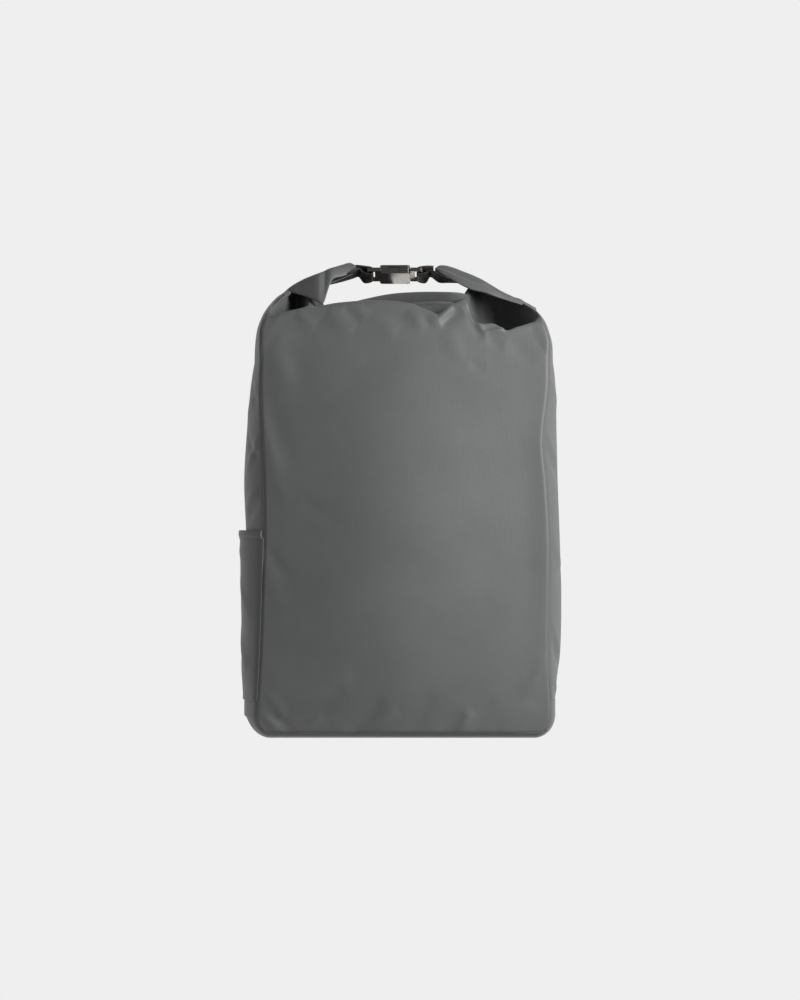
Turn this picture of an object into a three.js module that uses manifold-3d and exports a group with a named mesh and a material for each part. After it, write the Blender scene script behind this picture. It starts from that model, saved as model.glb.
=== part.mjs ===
// A rolltop backpack, packed full and closed. Its mouth is rolled up, bent back over the bag's top,
// and its two ends are joined by a side-release buckle, which makes a carrying handle.
//
// Millimetres. +Z is up, -Y is the front of the bag, +X is its right as seen from the front, and the
// origin is the middle of the base, on the ground.
//
// The cloth panels are thin sheets, worked out from one description of the packed bag: where its
// seams run at each height and how far each panel bellies out between them.

import * as THREE from "three";
import Module from "manifold-3d";
import { mergeVertices } from "three/addons/utils/BufferGeometryUtils.js";

const wasm = await Module();
wasm.setup();

// The bag

const FRONT_WIDTH = 280; // front panel, from seam to seam
const DEPTH = 140; // side panel, from seam to seam
const FOLD_HEIGHT = 420; // where the front panel folds over onto the top
const CLOTH = 2; // coated cloth with its lining
const SEAM_GAP = 0.4; // between two panels at a seam
const SIDE_BELLY = 20; // how far a side panel stands out of its seams
const FRONT_BELLY = 24;
const CREST = 0.1; // how far the front's crest is left of the middle, as a share of half its width
const CREST_SOFTNESS = 0.45; // and how wide it is, as such a share
const BACK_BELLY = 8;
const CORNER_RADIUS = 17; // lower corners of the front and back panels
const SEAM_RISE = 4; // height of the lower seams above the ground
const BASE_HEIGHT = 38; // how far the base panel turns up at the sides
const TOP_TAPER = 8; // how much nearer the seams are to the middle at the fold
const FOLD_DIP = 25; // deepest dip of the front fold line
const ROUNDING = 32; // height over which the panels lean in and turn over onto the top
const LEAN = 8;
const RECESS = 14; // depth of the hollow behind the fold, under the roll
const LEFT_SHOULDER = 25; // how far each side panel's middle rises over the roll where it bends up
const RIGHT_SHOULDER = 22;
const SHOULDER_BELLY = 5;

// The rolled mouth

const ROLL_DEPTH = 37; // front to back
const ROLL_THICKNESS = 12; // where it lies on the bag's top
const ROLL_REACH = 122; // half the length that lies on the top
const ROLL_HEIGHT = FOLD_HEIGHT + 13; // height of the lying part's top face in the middle
const HANDLE_RISE = 51; // from the bag's fold to the top of the handle
const LEFT_TIP = -45; // where the left end of the roll stops
const RIGHT_TIP = 36;

// The buckle and its webbing

const WEBBING_WIDTH = 20;
const WEBBING = 1.6; // thickness
const BUCKLE_X = -7; // middle of its housing, along the handle
const BUCKLE_HEIGHT = FOLD_HEIGHT + 0.794 * HANDLE_RISE;
const BUCKLE_TILT = 20; // degrees that its front edge is turned up
const HOUSING_LENGTH = 30;
const HOUSING_WIDTH = 27;
const HOUSING_THICKNESS = 9;
const FRAME_LENGTH = 13; // the part of each half that the webbing loops through
const BAR = 3.4; // the crossbar that the webbing goes round
const RUNNING_GAP = 0.4; // between the two halves of the buckle
const WEBBING_TUCK = 22; // how far the webbing goes in under the roll's end

// The side pocket

const POCKET_TOP = 205;
const POCKET_FULLNESS = 8; // how far it stands off the side panel
const POCKET_CLOTH = 1.2;
const HEM_HEIGHT = 8;

// The carrying straps

const STRAP_WIDTH = 62;
const STRAP_THICKNESS = 9;
const STRAP_TOP = FOLD_HEIGHT - 50; // height of their upper seam
const STRAP_END = 132; // height of their lower end
const STRAP_BOW = 34; // how far a strap stands off the back
const STRAP_INNER = 52; // half the spacing at the top
const STRAP_OUTER = 92; // and at the lower end
const LOCK_WIDTH = 32;
const LOCK_LENGTH = 26;
const LOCK_THICKNESS = 4;
const ANCHOR_X = 112; // where the lower webbing meets the back panel
const ANCHOR_HEIGHT = 46;
const LOCK_BAR = 4;
const STRAP_TAIL = 62; // free end of the lower webbing below its lock
const LOOP_SPAN = 76; // haul loop, between its two ends
const LOOP_RISE = 20;
const LOOP_SEAT = FOLD_HEIGHT - 32; // height of its two sewn ends

const HALF_WIDTH = FRONT_WIDTH / 2;
const HALF_DEPTH = DEPTH / 2;

// The packed bag at a few heights. Heights are shares of FOLD_HEIGHT, seams of half the front width,
// bellies of the belly of their own panel, and depth is a share of half the depth.
const SECTIONS = [
  { height: 0, left: 1.035, right: 1.055, leftBelly: 0.67, rightBelly: 0.38, frontBelly: 0.18, depth: 1 },
  { height: 0.1, left: 1.018, right: 1.052, leftBelly: 0.77, rightBelly: 0.4, frontBelly: 0.6, depth: 1 },
  { height: 0.2, left: 1, right: 1.034, leftBelly: 0.68, rightBelly: 0.76, frontBelly: 0.86, depth: 1 },
  { height: 0.34, left: 0.985, right: 1.036, leftBelly: 0.82, rightBelly: 0.83, frontBelly: 1, depth: 1 },
  { height: 0.47, left: 0.972, right: 1.036, leftBelly: 0.93, rightBelly: 0.77, frontBelly: 1, depth: 1 },
  { height: 0.6, left: 0.975, right: 1.014, leftBelly: 1.02, rightBelly: 0.76, frontBelly: 0.92, depth: 1 },
  { height: 0.7, left: 0.986, right: 0.99, leftBelly: 0.86, rightBelly: 0.79, frontBelly: 0.84, depth: 1 },
  { height: 0.84, left: 1, right: 1.034, leftBelly: 0.53, rightBelly: 0.5, frontBelly: 0.66, depth: 0.96 },
  { height: 1, left: 0.975, right: 1.02, leftBelly: 0.19, rightBelly: 0.15, frontBelly: 0.4, depth: 0.86 },
];

// The front fold line from the left seam to the right one. Across is a share of half the front width;
// dip is a share of FOLD_DIP below FOLD_HEIGHT, and recess a share of RECESS behind the fold.
const FOLD_LINE = [
  { across: -1.0, dip: 0.7, recess: 0.0 },
  { across: -0.85, dip: 0.2, recess: 0.3 },
  { across: -0.7, dip: -0.12, recess: 0.5 },
  { across: -0.52, dip: -0.28, recess: 0.2 },
  { across: -0.2, dip: -0.44, recess: 0.0 },
  { across: 0.05, dip: -0.58, recess: 0.0 },
  { across: 0.3, dip: -0.56, recess: 0.0 },
  { across: 0.48, dip: -0.3, recess: 0.1 },
  { across: 0.56, dip: 0.3, recess: 0.6 },
  { across: 0.64, dip: 0.42, recess: 0.9 },
  { across: 0.8, dip: 0.3, recess: 1.0 },
  { across: 1.0, dip: 0.56, recess: 0.0 },
];

// The lying part of the roll. Across is a share of ROLL_REACH, and drop, a share of ROLL_THICKNESS,
// is how far its top face lies below ROLL_HEIGHT.
const LYING_ROLL = [
  { across: -1.0, drop: 0.9 },
  { across: -0.6, drop: 0.67 },
  { across: -0.25, drop: 0.0 },
  { across: 0.05, drop: -0.62 },
  { across: 0.5, drop: -0.62 },
  { across: 0.7, drop: 0.3 },
  { across: 1.0, drop: 1.0 },
];

// The two raised ends of the roll, from the bag's shoulder to the tip. Along is the share of the way,
// top and bottom are shares of HANDLE_RISE above FOLD_HEIGHT, and depth is a share of ROLL_DEPTH.
const LEFT_END = [
  { along: 0.0, top: 0.46, bottom: 0.2, depth: 0.8 },
  { along: 0.1, top: 0.57, bottom: 0.27, depth: 0.92 },
  { along: 0.25, top: 0.69, bottom: 0.28, depth: 1.0 },
  { along: 0.4, top: 0.77, bottom: 0.24, depth: 1.03 },
  { along: 0.53, top: 0.83, bottom: 0.14, depth: 1.06 },
  { along: 0.59, top: 0.87, bottom: 0.2, depth: 1.06 },
  { along: 0.64, top: 0.905, bottom: 0.5, depth: 1.04 },
  { along: 0.78, top: 0.99, bottom: 0.62, depth: 0.92 },
  { along: 0.9, top: 1.045, bottom: 0.74, depth: 0.82 },
  { along: 1.0, top: 0.99, bottom: 0.82, depth: 0.7 },
];
const RIGHT_END = [
  { along: 0.0, top: 0.32, bottom: 0.02, depth: 0.8 },
  { along: 0.14, top: 0.395, bottom: 0.08, depth: 0.92 },
  { along: 0.3, top: 0.52, bottom: 0.2, depth: 1.0 },
  { along: 0.45, top: 0.69, bottom: 0.32, depth: 1.03 },
  { along: 0.6, top: 0.8, bottom: 0.44, depth: 1.05 },
  { along: 0.75, top: 0.89, bottom: 0.53, depth: 1.02 },
  { along: 0.9, top: 0.975, bottom: 0.61, depth: 0.9 },
  { along: 1.0, top: 0.96, bottom: 0.65, depth: 0.72 },
];

// Small tools

const mix = (a, b, t) => a + (b - a) * t;
const clamp = (t) => Math.min(1, Math.max(0, t));
const ease = (t) => clamp(t) ** 2 * (3 - 2 * clamp(t));
const rounded = (v, power) => Math.sign(v) * Math.abs(v) ** power;
const steps = (count, from = 0, to = 1) =>
  Array.from({ length: count + 1 }, (_, i) => mix(from, to, i / count));

// A column of a table at one place along it, on a smooth curve through the rows.
function read(table, along, at, column) {
  const last = table.length - 1;
  let row = 0;
  while (row < last - 1 && at > table[row + 1][along]) row += 1;
  const near = (i) => table[Math.min(last, Math.max(0, i))];
  const slope = (i) => {
    const span = near(i + 1)[along] - near(i - 1)[along];
    return span ? (near(i + 1)[column] - near(i - 1)[column]) / span : 0;
  };
  const span = near(row + 1)[along] - near(row)[along];
  const t = clamp((at - near(row)[along]) / span);
  const rise = near(row + 1)[column] - near(row)[column];
  const a = slope(row) * span - rise;
  const b = rise - slope(row + 1) * span;
  return near(row)[column] + rise * t + t * (1 - t) * (a * (1 - t) + b * t);
}

// A closed geometry from points and triangles, turned to face out.
function closedGeometry(points, triangles) {
  let volume = 0;
  for (const [a, b, c] of triangles) {
    volume += points[a].dot(new THREE.Vector3().crossVectors(points[b], points[c]));
  }
  const faces = volume < 0 ? triangles.map(([a, b, c]) => [a, c, b]) : triangles;
  const geometry = new THREE.BufferGeometry().setFromPoints(points);
  geometry.setIndex(faces.flat());
  return geometry;
}

// A thin sheet with its outer face at pointAt(u, v), and its inner face one wall behind it.
function sheet(pointAt, us, vs, wall) {
  const count = us.length * vs.length;
  const at = (i, j) => i * vs.length + j;
  const points = us.flatMap((u) => vs.map((v) => pointAt(u, v)));
  const within = (i, list) => Math.min(list.length - 1, Math.max(0, i));
  const centre = (i, j) => points[at(within(i, us), within(j, vs))];
  const inner = us.flatMap((_, i) =>
    vs.map((_, j) => {
      const alongU = centre(i + 1, j).clone().sub(centre(i - 1, j));
      const alongV = centre(i, j + 1).clone().sub(centre(i, j - 1));
      const out = alongU.cross(alongV).normalize();
      return points[at(i, j)].clone().addScaledVector(out, -wall);
    }),
  );
  const triangles = [];
  const quad = (a, b, c, d) => triangles.push([a, b, c], [a, c, d]);
  for (let i = 0; i < us.length - 1; i++) {
    for (let j = 0; j < vs.length - 1; j++) {
      quad(at(i, j), at(i + 1, j), at(i + 1, j + 1), at(i, j + 1));
      quad(count + at(i, j), count + at(i, j + 1), count + at(i + 1, j + 1), count + at(i + 1, j));
    }
  }
  const side = (a, b) => quad(b, a, count + a, count + b);
  const [right, top] = [us.length - 1, vs.length - 1];
  for (let i = 0; i < right; i++) {
    side(at(i, 0), at(i + 1, 0));
    side(at(i + 1, top), at(i, top));
  }
  for (let j = 0; j < top; j++) {
    side(at(right, j), at(right, j + 1));
    side(at(0, j + 1), at(0, j));
  }
  return closedGeometry([...points, ...inner], triangles);
}

// A solid through closed loops of points, with flat caps.
function loft(loops) {
  const size = loops[0].length;
  const points = loops.flat();
  const triangles = [];
  for (let i = 0; i < loops.length - 1; i++) {
    for (let j = 0; j < size; j++) {
      const [a, b] = [i * size + j, i * size + ((j + 1) % size)];
      triangles.push([a, b, b + size], [a, b + size, a + size]);
    }
  }
  const cap = (loop, first, flip) => {
    const total = loop.reduce((sum, p) => sum.add(p), new THREE.Vector3());
    const middle = points.push(total.divideScalar(size)) - 1;
    for (let j = 0; j < size; j++) {
      const [a, b] = [first + j, first + ((j + 1) % size)];
      triangles.push(flip ? [middle, b, a] : [middle, a, b]);
    }
  };
  cap(loops[0], 0, true);
  cap(loops.at(-1), (loops.length - 1) * size, false);
  return closedGeometry(points, triangles);
}

// Joins and cuts, by manifold-3d.
function solid(geometry) {
  const bare = geometry.clone();
  bare.deleteAttribute("normal");
  bare.deleteAttribute("uv");
  const merged = mergeVertices(bare, 1e-3);
  return new wasm.Manifold(
    new wasm.Mesh({
      numProp: 3,
      vertProperties: merged.attributes.position.array,
      triVerts: new Uint32Array(merged.index.array),
    }),
  );
}
function geometryOf(body) {
  const mesh = body.getMesh();
  const geometry = new THREE.BufferGeometry();
  geometry.setAttribute("position", new THREE.BufferAttribute(mesh.vertProperties, 3));
  geometry.setIndex(new THREE.BufferAttribute(mesh.triVerts, 1));
  return geometry;
}
function join(...geometries) {
  return geometryOf(geometries.map(solid).reduce((all, next) => all.add(next)));
}
function cut(geometry, ...tools) {
  return geometryOf(tools.map(solid).reduce((all, next) => all.subtract(next), solid(geometry)));
}

// The bag's panels

const section = (height, column) => read(SECTIONS, "height", height / FOLD_HEIGHT, column);

// A seam at a height: side is -1 for left and 1 for right, end -1 for front and 1 for back.
function seamAt(side, end, height) {
  const front = section(height, side < 0 ? "left" : "right");
  const share = end < 0 ? front : section(height, "left") * 0.5 + 0.5;
  const taper = TOP_TAPER * ease((height / FOLD_HEIGHT - 0.85) / 0.15) * (end < 0 ? 0 : 1);
  const x = side * (HALF_WIDTH * share - taper);
  return new THREE.Vector3(x, end * HALF_DEPTH * section(height, "depth"), height);
}

// The height of the fold at a place across the panel. The back panel's fold is straight.
function foldHeight(across, end) {
  const dip = end < 0 ? read(FOLD_LINE, "across", across, "dip") : 0.68 * Math.abs(across) ** 3;
  return FOLD_HEIGHT - FOLD_DIP * dip;
}

// How full a panel is at a share of its width, from 0 at its seams to 1 in the middle.
const fullness = (across, power = 2.1) => 1 - Math.abs(across) ** power;

// The same for the packed front: two nearly flat halves that meet in a soft crest, left of the middle.
function crown(across) {
  const place = across + CREST * (1 - across ** 2);
  const rise = Math.hypot(place, CREST_SOFTNESS) - CREST_SOFTNESS;
  return 1 - rise / (Math.hypot(1, CREST_SOFTNESS) - CREST_SOFTNESS);
}

// The lying roll's top face, and the line on its front or back edge where a panel goes into it.
function rollTop(x) {
  return ROLL_HEIGHT - ROLL_THICKNESS * read(LYING_ROLL, "across", x / ROLL_REACH, "drop");
}
const rollEdge = (across, end) =>
  new THREE.Vector3(
    across * ROLL_REACH,
    end * (ROLL_DEPTH / 2 + 3 * SEAM_GAP),
    rollTop(across * ROLL_REACH) - ROLL_THICKNESS / 2,
  );

// The front or back panel: rise goes from 0 at its lower seam to 1 where it starts to lean in, and on
// over the rounded fold to 2 at the roll.
function broadPanel(end, across, rise) {
  const fold = foldHeight(across, end);
  const height = mix(SEAM_RISE, fold - ROUNDING, Math.min(rise, 1));
  const low = clamp((height - SEAM_RISE) / CORNER_RADIUS);
  const inset = CORNER_RADIUS * (1 - Math.sqrt(1 - (1 - low) ** 2));
  const [left, right] = [-1, 1].map((side) => seamAt(side, end, height));
  const full = end < 0 ? FRONT_BELLY * crown(across) : BACK_BELLY * fullness(across);
  const x = mix(left.x + inset, right.x - inset, (across + 1) / 2);
  const y = left.y + end * full * section(height, "frontBelly");
  const face = new THREE.Vector3(x, y, height);
  if (rise <= 1) return face;
  const t = rise - 1;
  const over = face.clone().add(new THREE.Vector3(0, -end * LEAN, ROUNDING * 1.4));
  const point = new THREE.QuadraticBezierCurve3(face, over, rollEdge(across, end)).getPoint(t);
  const sink = end < 0 ? RECESS * read(FOLD_LINE, "across", across, "recess") : 0;
  point.z -= sink * ease(t / 0.75) * ease((1 - t) / 0.2);
  return point;
}

// A side panel: across goes from 0 at its front seam to 1 at its back seam, and rise as above.
function sidePanel(side, across, rise) {
  const ends = [-1, 1].map((end) => broadPanel(end, side, rise));
  const height = Math.min(ends[0].z, FOLD_HEIGHT);
  const belly = SIDE_BELLY * section(height, side < 0 ? "leftBelly" : "rightBelly");
  const over = clamp(rise - 1);
  const full = fullness(2 * across - 1, 2.2);
  const point = ends[0].lerp(ends[1], across);
  point.x += side * full * mix(belly, SHOULDER_BELLY, over);
  point.z += full * over * (side < 0 ? LEFT_SHOULDER : RIGHT_SHOULDER);
  return point;
}

// The rise at which a panel's face is at a height, at a place across it.
function riseOf(across, end, height) {
  return (height - SEAM_RISE) / (foldHeight(across, end) - ROUNDING - SEAM_RISE);
}

// The row numbers of a panel: even steps up its face, and closer ones over the fold.
const FACE_ROWS = [0, 0.006, 0.018, 0.035, 0.056, ...steps(11, 0.1, 1)];
const TOP_ROWS = steps(7, 1, 2).slice(1);

function broadPanelGeometry(end) {
  const wide = steps(22, -1, 1);
  const across = end < 0 ? wide : wide.toReversed();
  return sheet((u, v) => broadPanel(end, u, v), across, [...FACE_ROWS, ...TOP_ROWS], CLOTH);
}

// The share of a side panel's width that its neighbours' walls take up at each seam.
const SEAM_SHARE = (CLOTH + 1.6 * SEAM_GAP) / DEPTH;

function sidePanelGeometry(side) {
  const foot = riseOf(side, -1, BASE_HEIGHT + SEAM_GAP);
  const rows = [foot, ...FACE_ROWS.filter((row) => row > foot + 0.01), ...TOP_ROWS];
  const across = steps(8, SEAM_SHARE, 1 - SEAM_SHARE);
  // where the panel narrows towards the roll, the same gap is a larger share of its width
  const spread = (u, v) => mix(u, 0.5 + (u - 0.5) * (1 - 4 * SEAM_SHARE), clamp(6 * (v - 0.93)));
  const outward = side < 0 ? across.toReversed() : across;
  return sheet((u, v) => sidePanel(side, spread(u, v), v), outward, rows, CLOTH);
}

// The base panel, a band that turns up round both lower corners. Along goes from -1 at its left end
// to 1 at its right end, in even shares of the two upright parts, the two corners and the flat.
function basePanel(along, across) {
  const side = Math.sign(along) || 1;
  const place = Math.abs(along);
  const straight = 0.6;
  const bend = 0.85;
  const low = SEAM_RISE + CORNER_RADIUS;
  const turn = (Math.PI / 2) * clamp((place - straight) / (bend - straight));
  const upright = mix(low, BASE_HEIGHT, (place - bend) / (1 - bend));
  const rise = place > bend ? upright : low - CORNER_RADIUS * Math.cos(turn);
  const out = new THREE.Vector3(side * Math.sin(turn), 0, -Math.cos(turn));
  const ends = [-1, 1].map((end) => {
    const seam = seamAt(side, end, Math.max(rise, SEAM_RISE));
    const centre = seam.x - side * CORNER_RADIUS;
    const round = centre + side * CORNER_RADIUS * Math.sin(turn);
    seam.x = place > straight ? round : mix(0, centre, place / straight);
    seam.z = rise;
    return seam;
  });
  const belly = SIDE_BELLY * section(rise, side < 0 ? "leftBelly" : "rightBelly");
  const flat = 1 - turn / (Math.PI / 2);
  const full = fullness(2 * across - 1, mix(2.2, 4, flat));
  const stand = full * mix(belly, SEAM_RISE + 1, Math.sqrt(flat));
  const point = ends[0].lerp(ends[1], across).addScaledVector(out, stand);
  point.z = Math.max(0, point.z);
  return point;
}

function basePanelGeometry() {
  const half = [...steps(4, 0, 0.6), ...steps(5, 0.65, 0.85), 0.925, 1];
  const along = [...half.slice(1).reverse().map((v) => -v), ...half];
  const across = steps(10, SEAM_SHARE, 1 - SEAM_SHARE);
  return sheet((u, v) => basePanel(v, u), across, along, CLOTH);
}

// The side pocket on the left panel, and the hem along its mouth

function pocketPoint(across, height, extra = 0) {
  const foot = ease((height - BASE_HEIGHT) / 40);
  const stand = mix(SEAM_GAP, POCKET_FULLNESS, fullness(2 * across - 1, 3) * foot);
  const point = sidePanel(-1, across, riseOf(-1, -1, height));
  point.x -= stand + POCKET_CLOTH + extra;
  return point;
}

function pocketGeometry() {
  const across = steps(8, 1.2 * SEAM_SHARE, 1 - 1.2 * SEAM_SHARE);
  const heights = steps(10, BASE_HEIGHT + 1, POCKET_TOP - HEM_HEIGHT);
  return sheet((u, v) => pocketPoint(u, v), across.toReversed(), heights, POCKET_CLOTH);
}

function hemGeometry() {
  const across = steps(8, 1.2 * SEAM_SHARE, 1 - 1.2 * SEAM_SHARE);
  const heights = steps(2, POCKET_TOP - HEM_HEIGHT + SEAM_GAP, POCKET_TOP);
  return sheet((u, v) => pocketPoint(u, v, 0.6), across.toReversed(), heights, POCKET_CLOTH + 0.6);
}

// The rolled mouth: the part that lies on the bag, and the two ends that rise to the buckle

function lyingRoll() {
  const shape = steps(13).slice(0, -1).map((t) => t * 2 * Math.PI);
  return loft(
    steps(16, -1, 1).map((across) => {
      const x = across * ROLL_REACH;
      const taper = Math.sqrt(1 - 0.75 * across ** 12);
      const middle = rollTop(x) - ROLL_THICKNESS / 2;
      return shape.map((a) => {
        const y = (ROLL_DEPTH / 2) * rounded(Math.cos(a), 0.6);
        return new THREE.Vector3(x, y, middle + (ROLL_THICKNESS / 2) * taper * rounded(Math.sin(a), 0.6));
      });
    }),
  );
}

// The share of a raised end, from the shoulder, that stands on the lying part.
const FOOT = 0.58;

// A raised end of the roll, narrow below where it stands on the lying part.
function raisedEnd(side, table, tip) {
  const shoulder = side * ROLL_REACH;
  const half = ROLL_DEPTH / 2;
  return loft(
    steps(20).map((along) => {
      const x = mix(shoulder, tip, along);
      const top = FOLD_HEIGHT + HANDLE_RISE * read(table, "along", along, "top");
      const bottom = FOLD_HEIGHT + HANDLE_RISE * read(table, "along", along, "bottom");
      const depth = half * read(table, "along", along, "depth");
      const tall = top - bottom;
      const foot = along < FOOT ? Math.min(bottom - 1, rollTop(x) - 3) : bottom - 1;
      const waist = along < FOOT ? 4 : half * 0.4;
      const shape = [
        [0, top],
        [0.5 * depth, top - 0.04 * tall],
        [0.86 * depth, top - 0.2 * tall],
        [depth, top - 0.5 * tall],
        [0.9 * depth, bottom + 0.16 * tall],
        [0.62 * depth, bottom],
        [waist, bottom - 0.5],
        [waist, foot],
      ];
      const front = shape.map(([y, z]) => new THREE.Vector3(x, -y, z));
      const back = shape.slice(1).map(([y, z]) => new THREE.Vector3(x, y, z));
      return [...front, ...back.reverse()];
    }),
  );
}

function rollGeometry() {
  return join(lyingRoll(), raisedEnd(-1, LEFT_END, LEFT_TIP), raisedEnd(1, RIGHT_END, RIGHT_TIP));
}

// The buckle, made lying flat with its length along X

function box(x, y, z, length, width, height) {
  return new THREE.BoxGeometry(length, width, height).translate(x, y, z);
}

function roundedPlate(length, width, radius, thickness, x = 0) {
  const shape = new THREE.Shape();
  const [l, w] = [length / 2, width / 2];
  const signs = [[1, -1], [1, 1], [-1, 1], [-1, -1]];
  signs.forEach(([right, up], i) => {
    const from = ((i - 1) * Math.PI) / 2;
    shape.absarc(right * (l - radius), up * (w - radius), radius, from, from + Math.PI / 2);
  });
  const settings = { depth: thickness, bevelEnabled: false, curveSegments: 4 };
  return new THREE.ExtrudeGeometry(shape, settings).translate(x, 0, -thickness / 2);
}

// A frame at one end of the buckle, with the slot and crossbar for the webbing.
const SLOT = { length: 4.6, width: WEBBING_WIDTH + 1.4 };
const BAR_X = HOUSING_LENGTH / 2 + FRAME_LENGTH - BAR / 2; // the crossbar, from the housing's middle
const FRAME_THICKNESS = 4;

function frame(side) {
  const middle = side * (HOUSING_LENGTH / 2 + FRAME_LENGTH / 2 - 1.5);
  const plate = roundedPlate(FRAME_LENGTH + 3, HOUSING_WIDTH - 1, 3, FRAME_THICKNESS, middle);
  const inner = HOUSING_LENGTH / 2 + FRAME_LENGTH - BAR - SLOT.length / 2;
  return cut(plate, box(side * inner, 0, 0, SLOT.length, SLOT.width, HOUSING_THICKNESS));
}

const ARM = { length: 20, width: 4 }; // the plug's two springy arms
const CATCH = { length: 11, width: 5 }; // and the catch at each arm's end, in its window
const GUIDE_LENGTH = 18;
const CAVITY = { width: HOUSING_WIDTH - 7, height: 5.2 };

function socketGeometry() {
  const housing = roundedPlate(HOUSING_LENGTH, HOUSING_WIDTH, 3, HOUSING_THICKNESS);
  const cavity = box(3, 0, 0, HOUSING_LENGTH, CAVITY.width, CAVITY.height);
  const windows = box(-1, 0, 0, CATCH.length, HOUSING_WIDTH + 2, CAVITY.height);
  return cut(join(housing, frame(-1)), cavity, windows);
}

function plugGeometry() {
  const height = CAVITY.height - 2 * RUNNING_GAP;
  const root = HOUSING_LENGTH / 2 + 2; // where the arms leave their frame
  const clear = 2 * (2 + RUNNING_GAP);
  const plate = cut(frame(1), box(HOUSING_LENGTH / 2 - 2, 0, 0, clear, HOUSING_WIDTH, HOUSING_THICKNESS));
  const arms = [-1, 1].map((side) => {
    const inner = side * (CAVITY.width / 2 - RUNNING_GAP - ARM.width / 2);
    const outer = side * (HOUSING_WIDTH / 2 - 3.4);
    const arm = box(root - ARM.length / 2, inner, 0, ARM.length, ARM.width, height);
    return join(arm, box(-1, outer, 0, CATCH.length - 2 * RUNNING_GAP, CATCH.width, height));
  });
  return join(plate, ...arms, box(root - GUIDE_LENGTH / 2, 0, 0, GUIDE_LENGTH, ARM.width, height));
}

// Webbing, as a flat ribbon through stations: each has a place, the direction across it, and a width

function ribbon(stations, thickness) {
  return loft(
    stations.map(({ at, across, width }, i) => {
      const next = stations[Math.min(i + 1, stations.length - 1)].at;
      const before = stations[Math.max(i - 1, 0)].at;
      const out = next.clone().sub(before).cross(across).normalize().multiplyScalar(thickness / 2);
      const half = across.clone().multiplyScalar(width / 2);
      return [
        at.clone().sub(half).sub(out),
        at.clone().add(half).sub(out),
        at.clone().add(half).add(out),
        at.clone().sub(half).add(out),
      ];
    }),
  );
}

// The direction across the handle, turned up at the front by an angle in degrees.
function acrossHandle(degrees) {
  const a = (degrees * Math.PI) / 180;
  return new THREE.Vector3(0, Math.cos(a), -Math.sin(a));
}

const handlePoint = (x, z, y = 0) => new THREE.Vector3(x, y, z);

// The underside of a raised end at a place along it.
function endBottom(side, x) {
  const [table, tip] = side < 0 ? [LEFT_END, LEFT_TIP] : [RIGHT_END, RIGHT_TIP];
  const shoulder = side * ROLL_REACH;
  return FOLD_HEIGHT + HANDLE_RISE * read(table, "along", (x - shoulder) / (tip - shoulder), "bottom");
}

// One length of webbing: sewn under the roll's end, out to the buckle's bar, round it and back.
function buckleWebbing(side) {
  const tip = side < 0 ? LEFT_TIP : RIGHT_TIP;
  const bar = BUCKLE_X + side * BAR_X;
  const tilt = (BUCKLE_TILT * Math.PI) / 180;
  const up = new THREE.Vector3(0, Math.sin(tilt), Math.cos(tilt));
  const hug = FRAME_THICKNESS / 2 + SEAM_GAP + WEBBING / 2;
  const inside = bar - side * (BAR / 2 + SEAM_GAP + WEBBING / 2);
  const outside = bar + side * (BAR / 2 + WEBBING);
  const low = (x) => endBottom(side, x) - 1 - SEAM_GAP - WEBBING;
  const tucked = (by) => handlePoint(tip + side * by, low(tip + side * by));
  const nearBar = (x, lift) => handlePoint(x, BUCKLE_HEIGHT).addScaledVector(up, lift);
  const between = (t, lift) => handlePoint(mix(tip, bar, t), mix(low(tip), BUCKLE_HEIGHT, t) + lift);
  const rows = [
    { at: tucked(WEBBING_TUCK), turn: 0 },
    { at: tucked(WEBBING_TUCK / 3), turn: 0 },
    { at: between(0.3, -2), turn: 0.4 },
    { at: nearBar(outside, -hug), turn: 1 },
    { at: nearBar(inside, -hug), turn: 1 },
    { at: nearBar(inside, hug), turn: 1 },
    { at: nearBar(outside, hug), turn: 1 },
    { at: between(0.5, 1.6), turn: 0.7 },
  ];
  return ribbon(
    rows.map(({ at, turn }) => ({ at, across: acrossHandle(BUCKLE_TILT * turn), width: WEBBING_WIDTH })),
    WEBBING,
  );
}

// The shoulder straps, their lower webbing and locks, and the haul loop

// The back panel's face at a place.
function backFace(x, z) {
  return broadPanel(1, x / HALF_WIDTH, riseOf(x / HALF_WIDTH, 1, z)).y;
}

const strapX = (side, t) => side * mix(STRAP_INNER, STRAP_OUTER, ease(t));
function strapMiddle(side, t) {
  const z = mix(STRAP_TOP, STRAP_END, t);
  const x = strapX(side, t);
  const bow = STRAP_BOW * Math.sin(Math.PI * clamp(t * 0.96)) ** 0.8;
  return new THREE.Vector3(x, backFace(x, z) + 2 * SEAM_GAP + STRAP_THICKNESS / 2 + bow, z);
}

function strapGeometry(side) {
  const corners = 10;
  return loft(
    steps(22).map((t) => {
      const middle = strapMiddle(side, t);
      const width = STRAP_WIDTH * mix(1, 0.62, ease((t - 0.75) / 0.25));
      return steps(corners).slice(0, -1).map((u) => {
        const a = u * 2 * Math.PI;
        const out = (STRAP_THICKNESS / 2) * rounded(Math.sin(a), 0.6);
        return middle.clone().add(new THREE.Vector3((width / 2) * rounded(Math.cos(a), 0.35), out, 0));
      });
    }),
  );
}

function lockGeometry() {
  const plate = roundedPlate(LOCK_LENGTH, LOCK_WIDTH, 4, LOCK_THICKNESS);
  const slot = (x) => box(x, 0, 0, 6, WEBBING_WIDTH + 2, LOCK_THICKNESS * 2);
  const middle = LOCK_LENGTH / 2 - LOCK_BAR - 3;
  return cut(plate, slot(-middle), slot(middle));
}

const LOCK_DROP = LOCK_LENGTH / 2 + SEAM_GAP; // from the strap's end to the lock's middle
const lockMiddle = (side) => strapMiddle(side, 1).add(new THREE.Vector3(0, 0, -LOCK_DROP));

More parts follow.
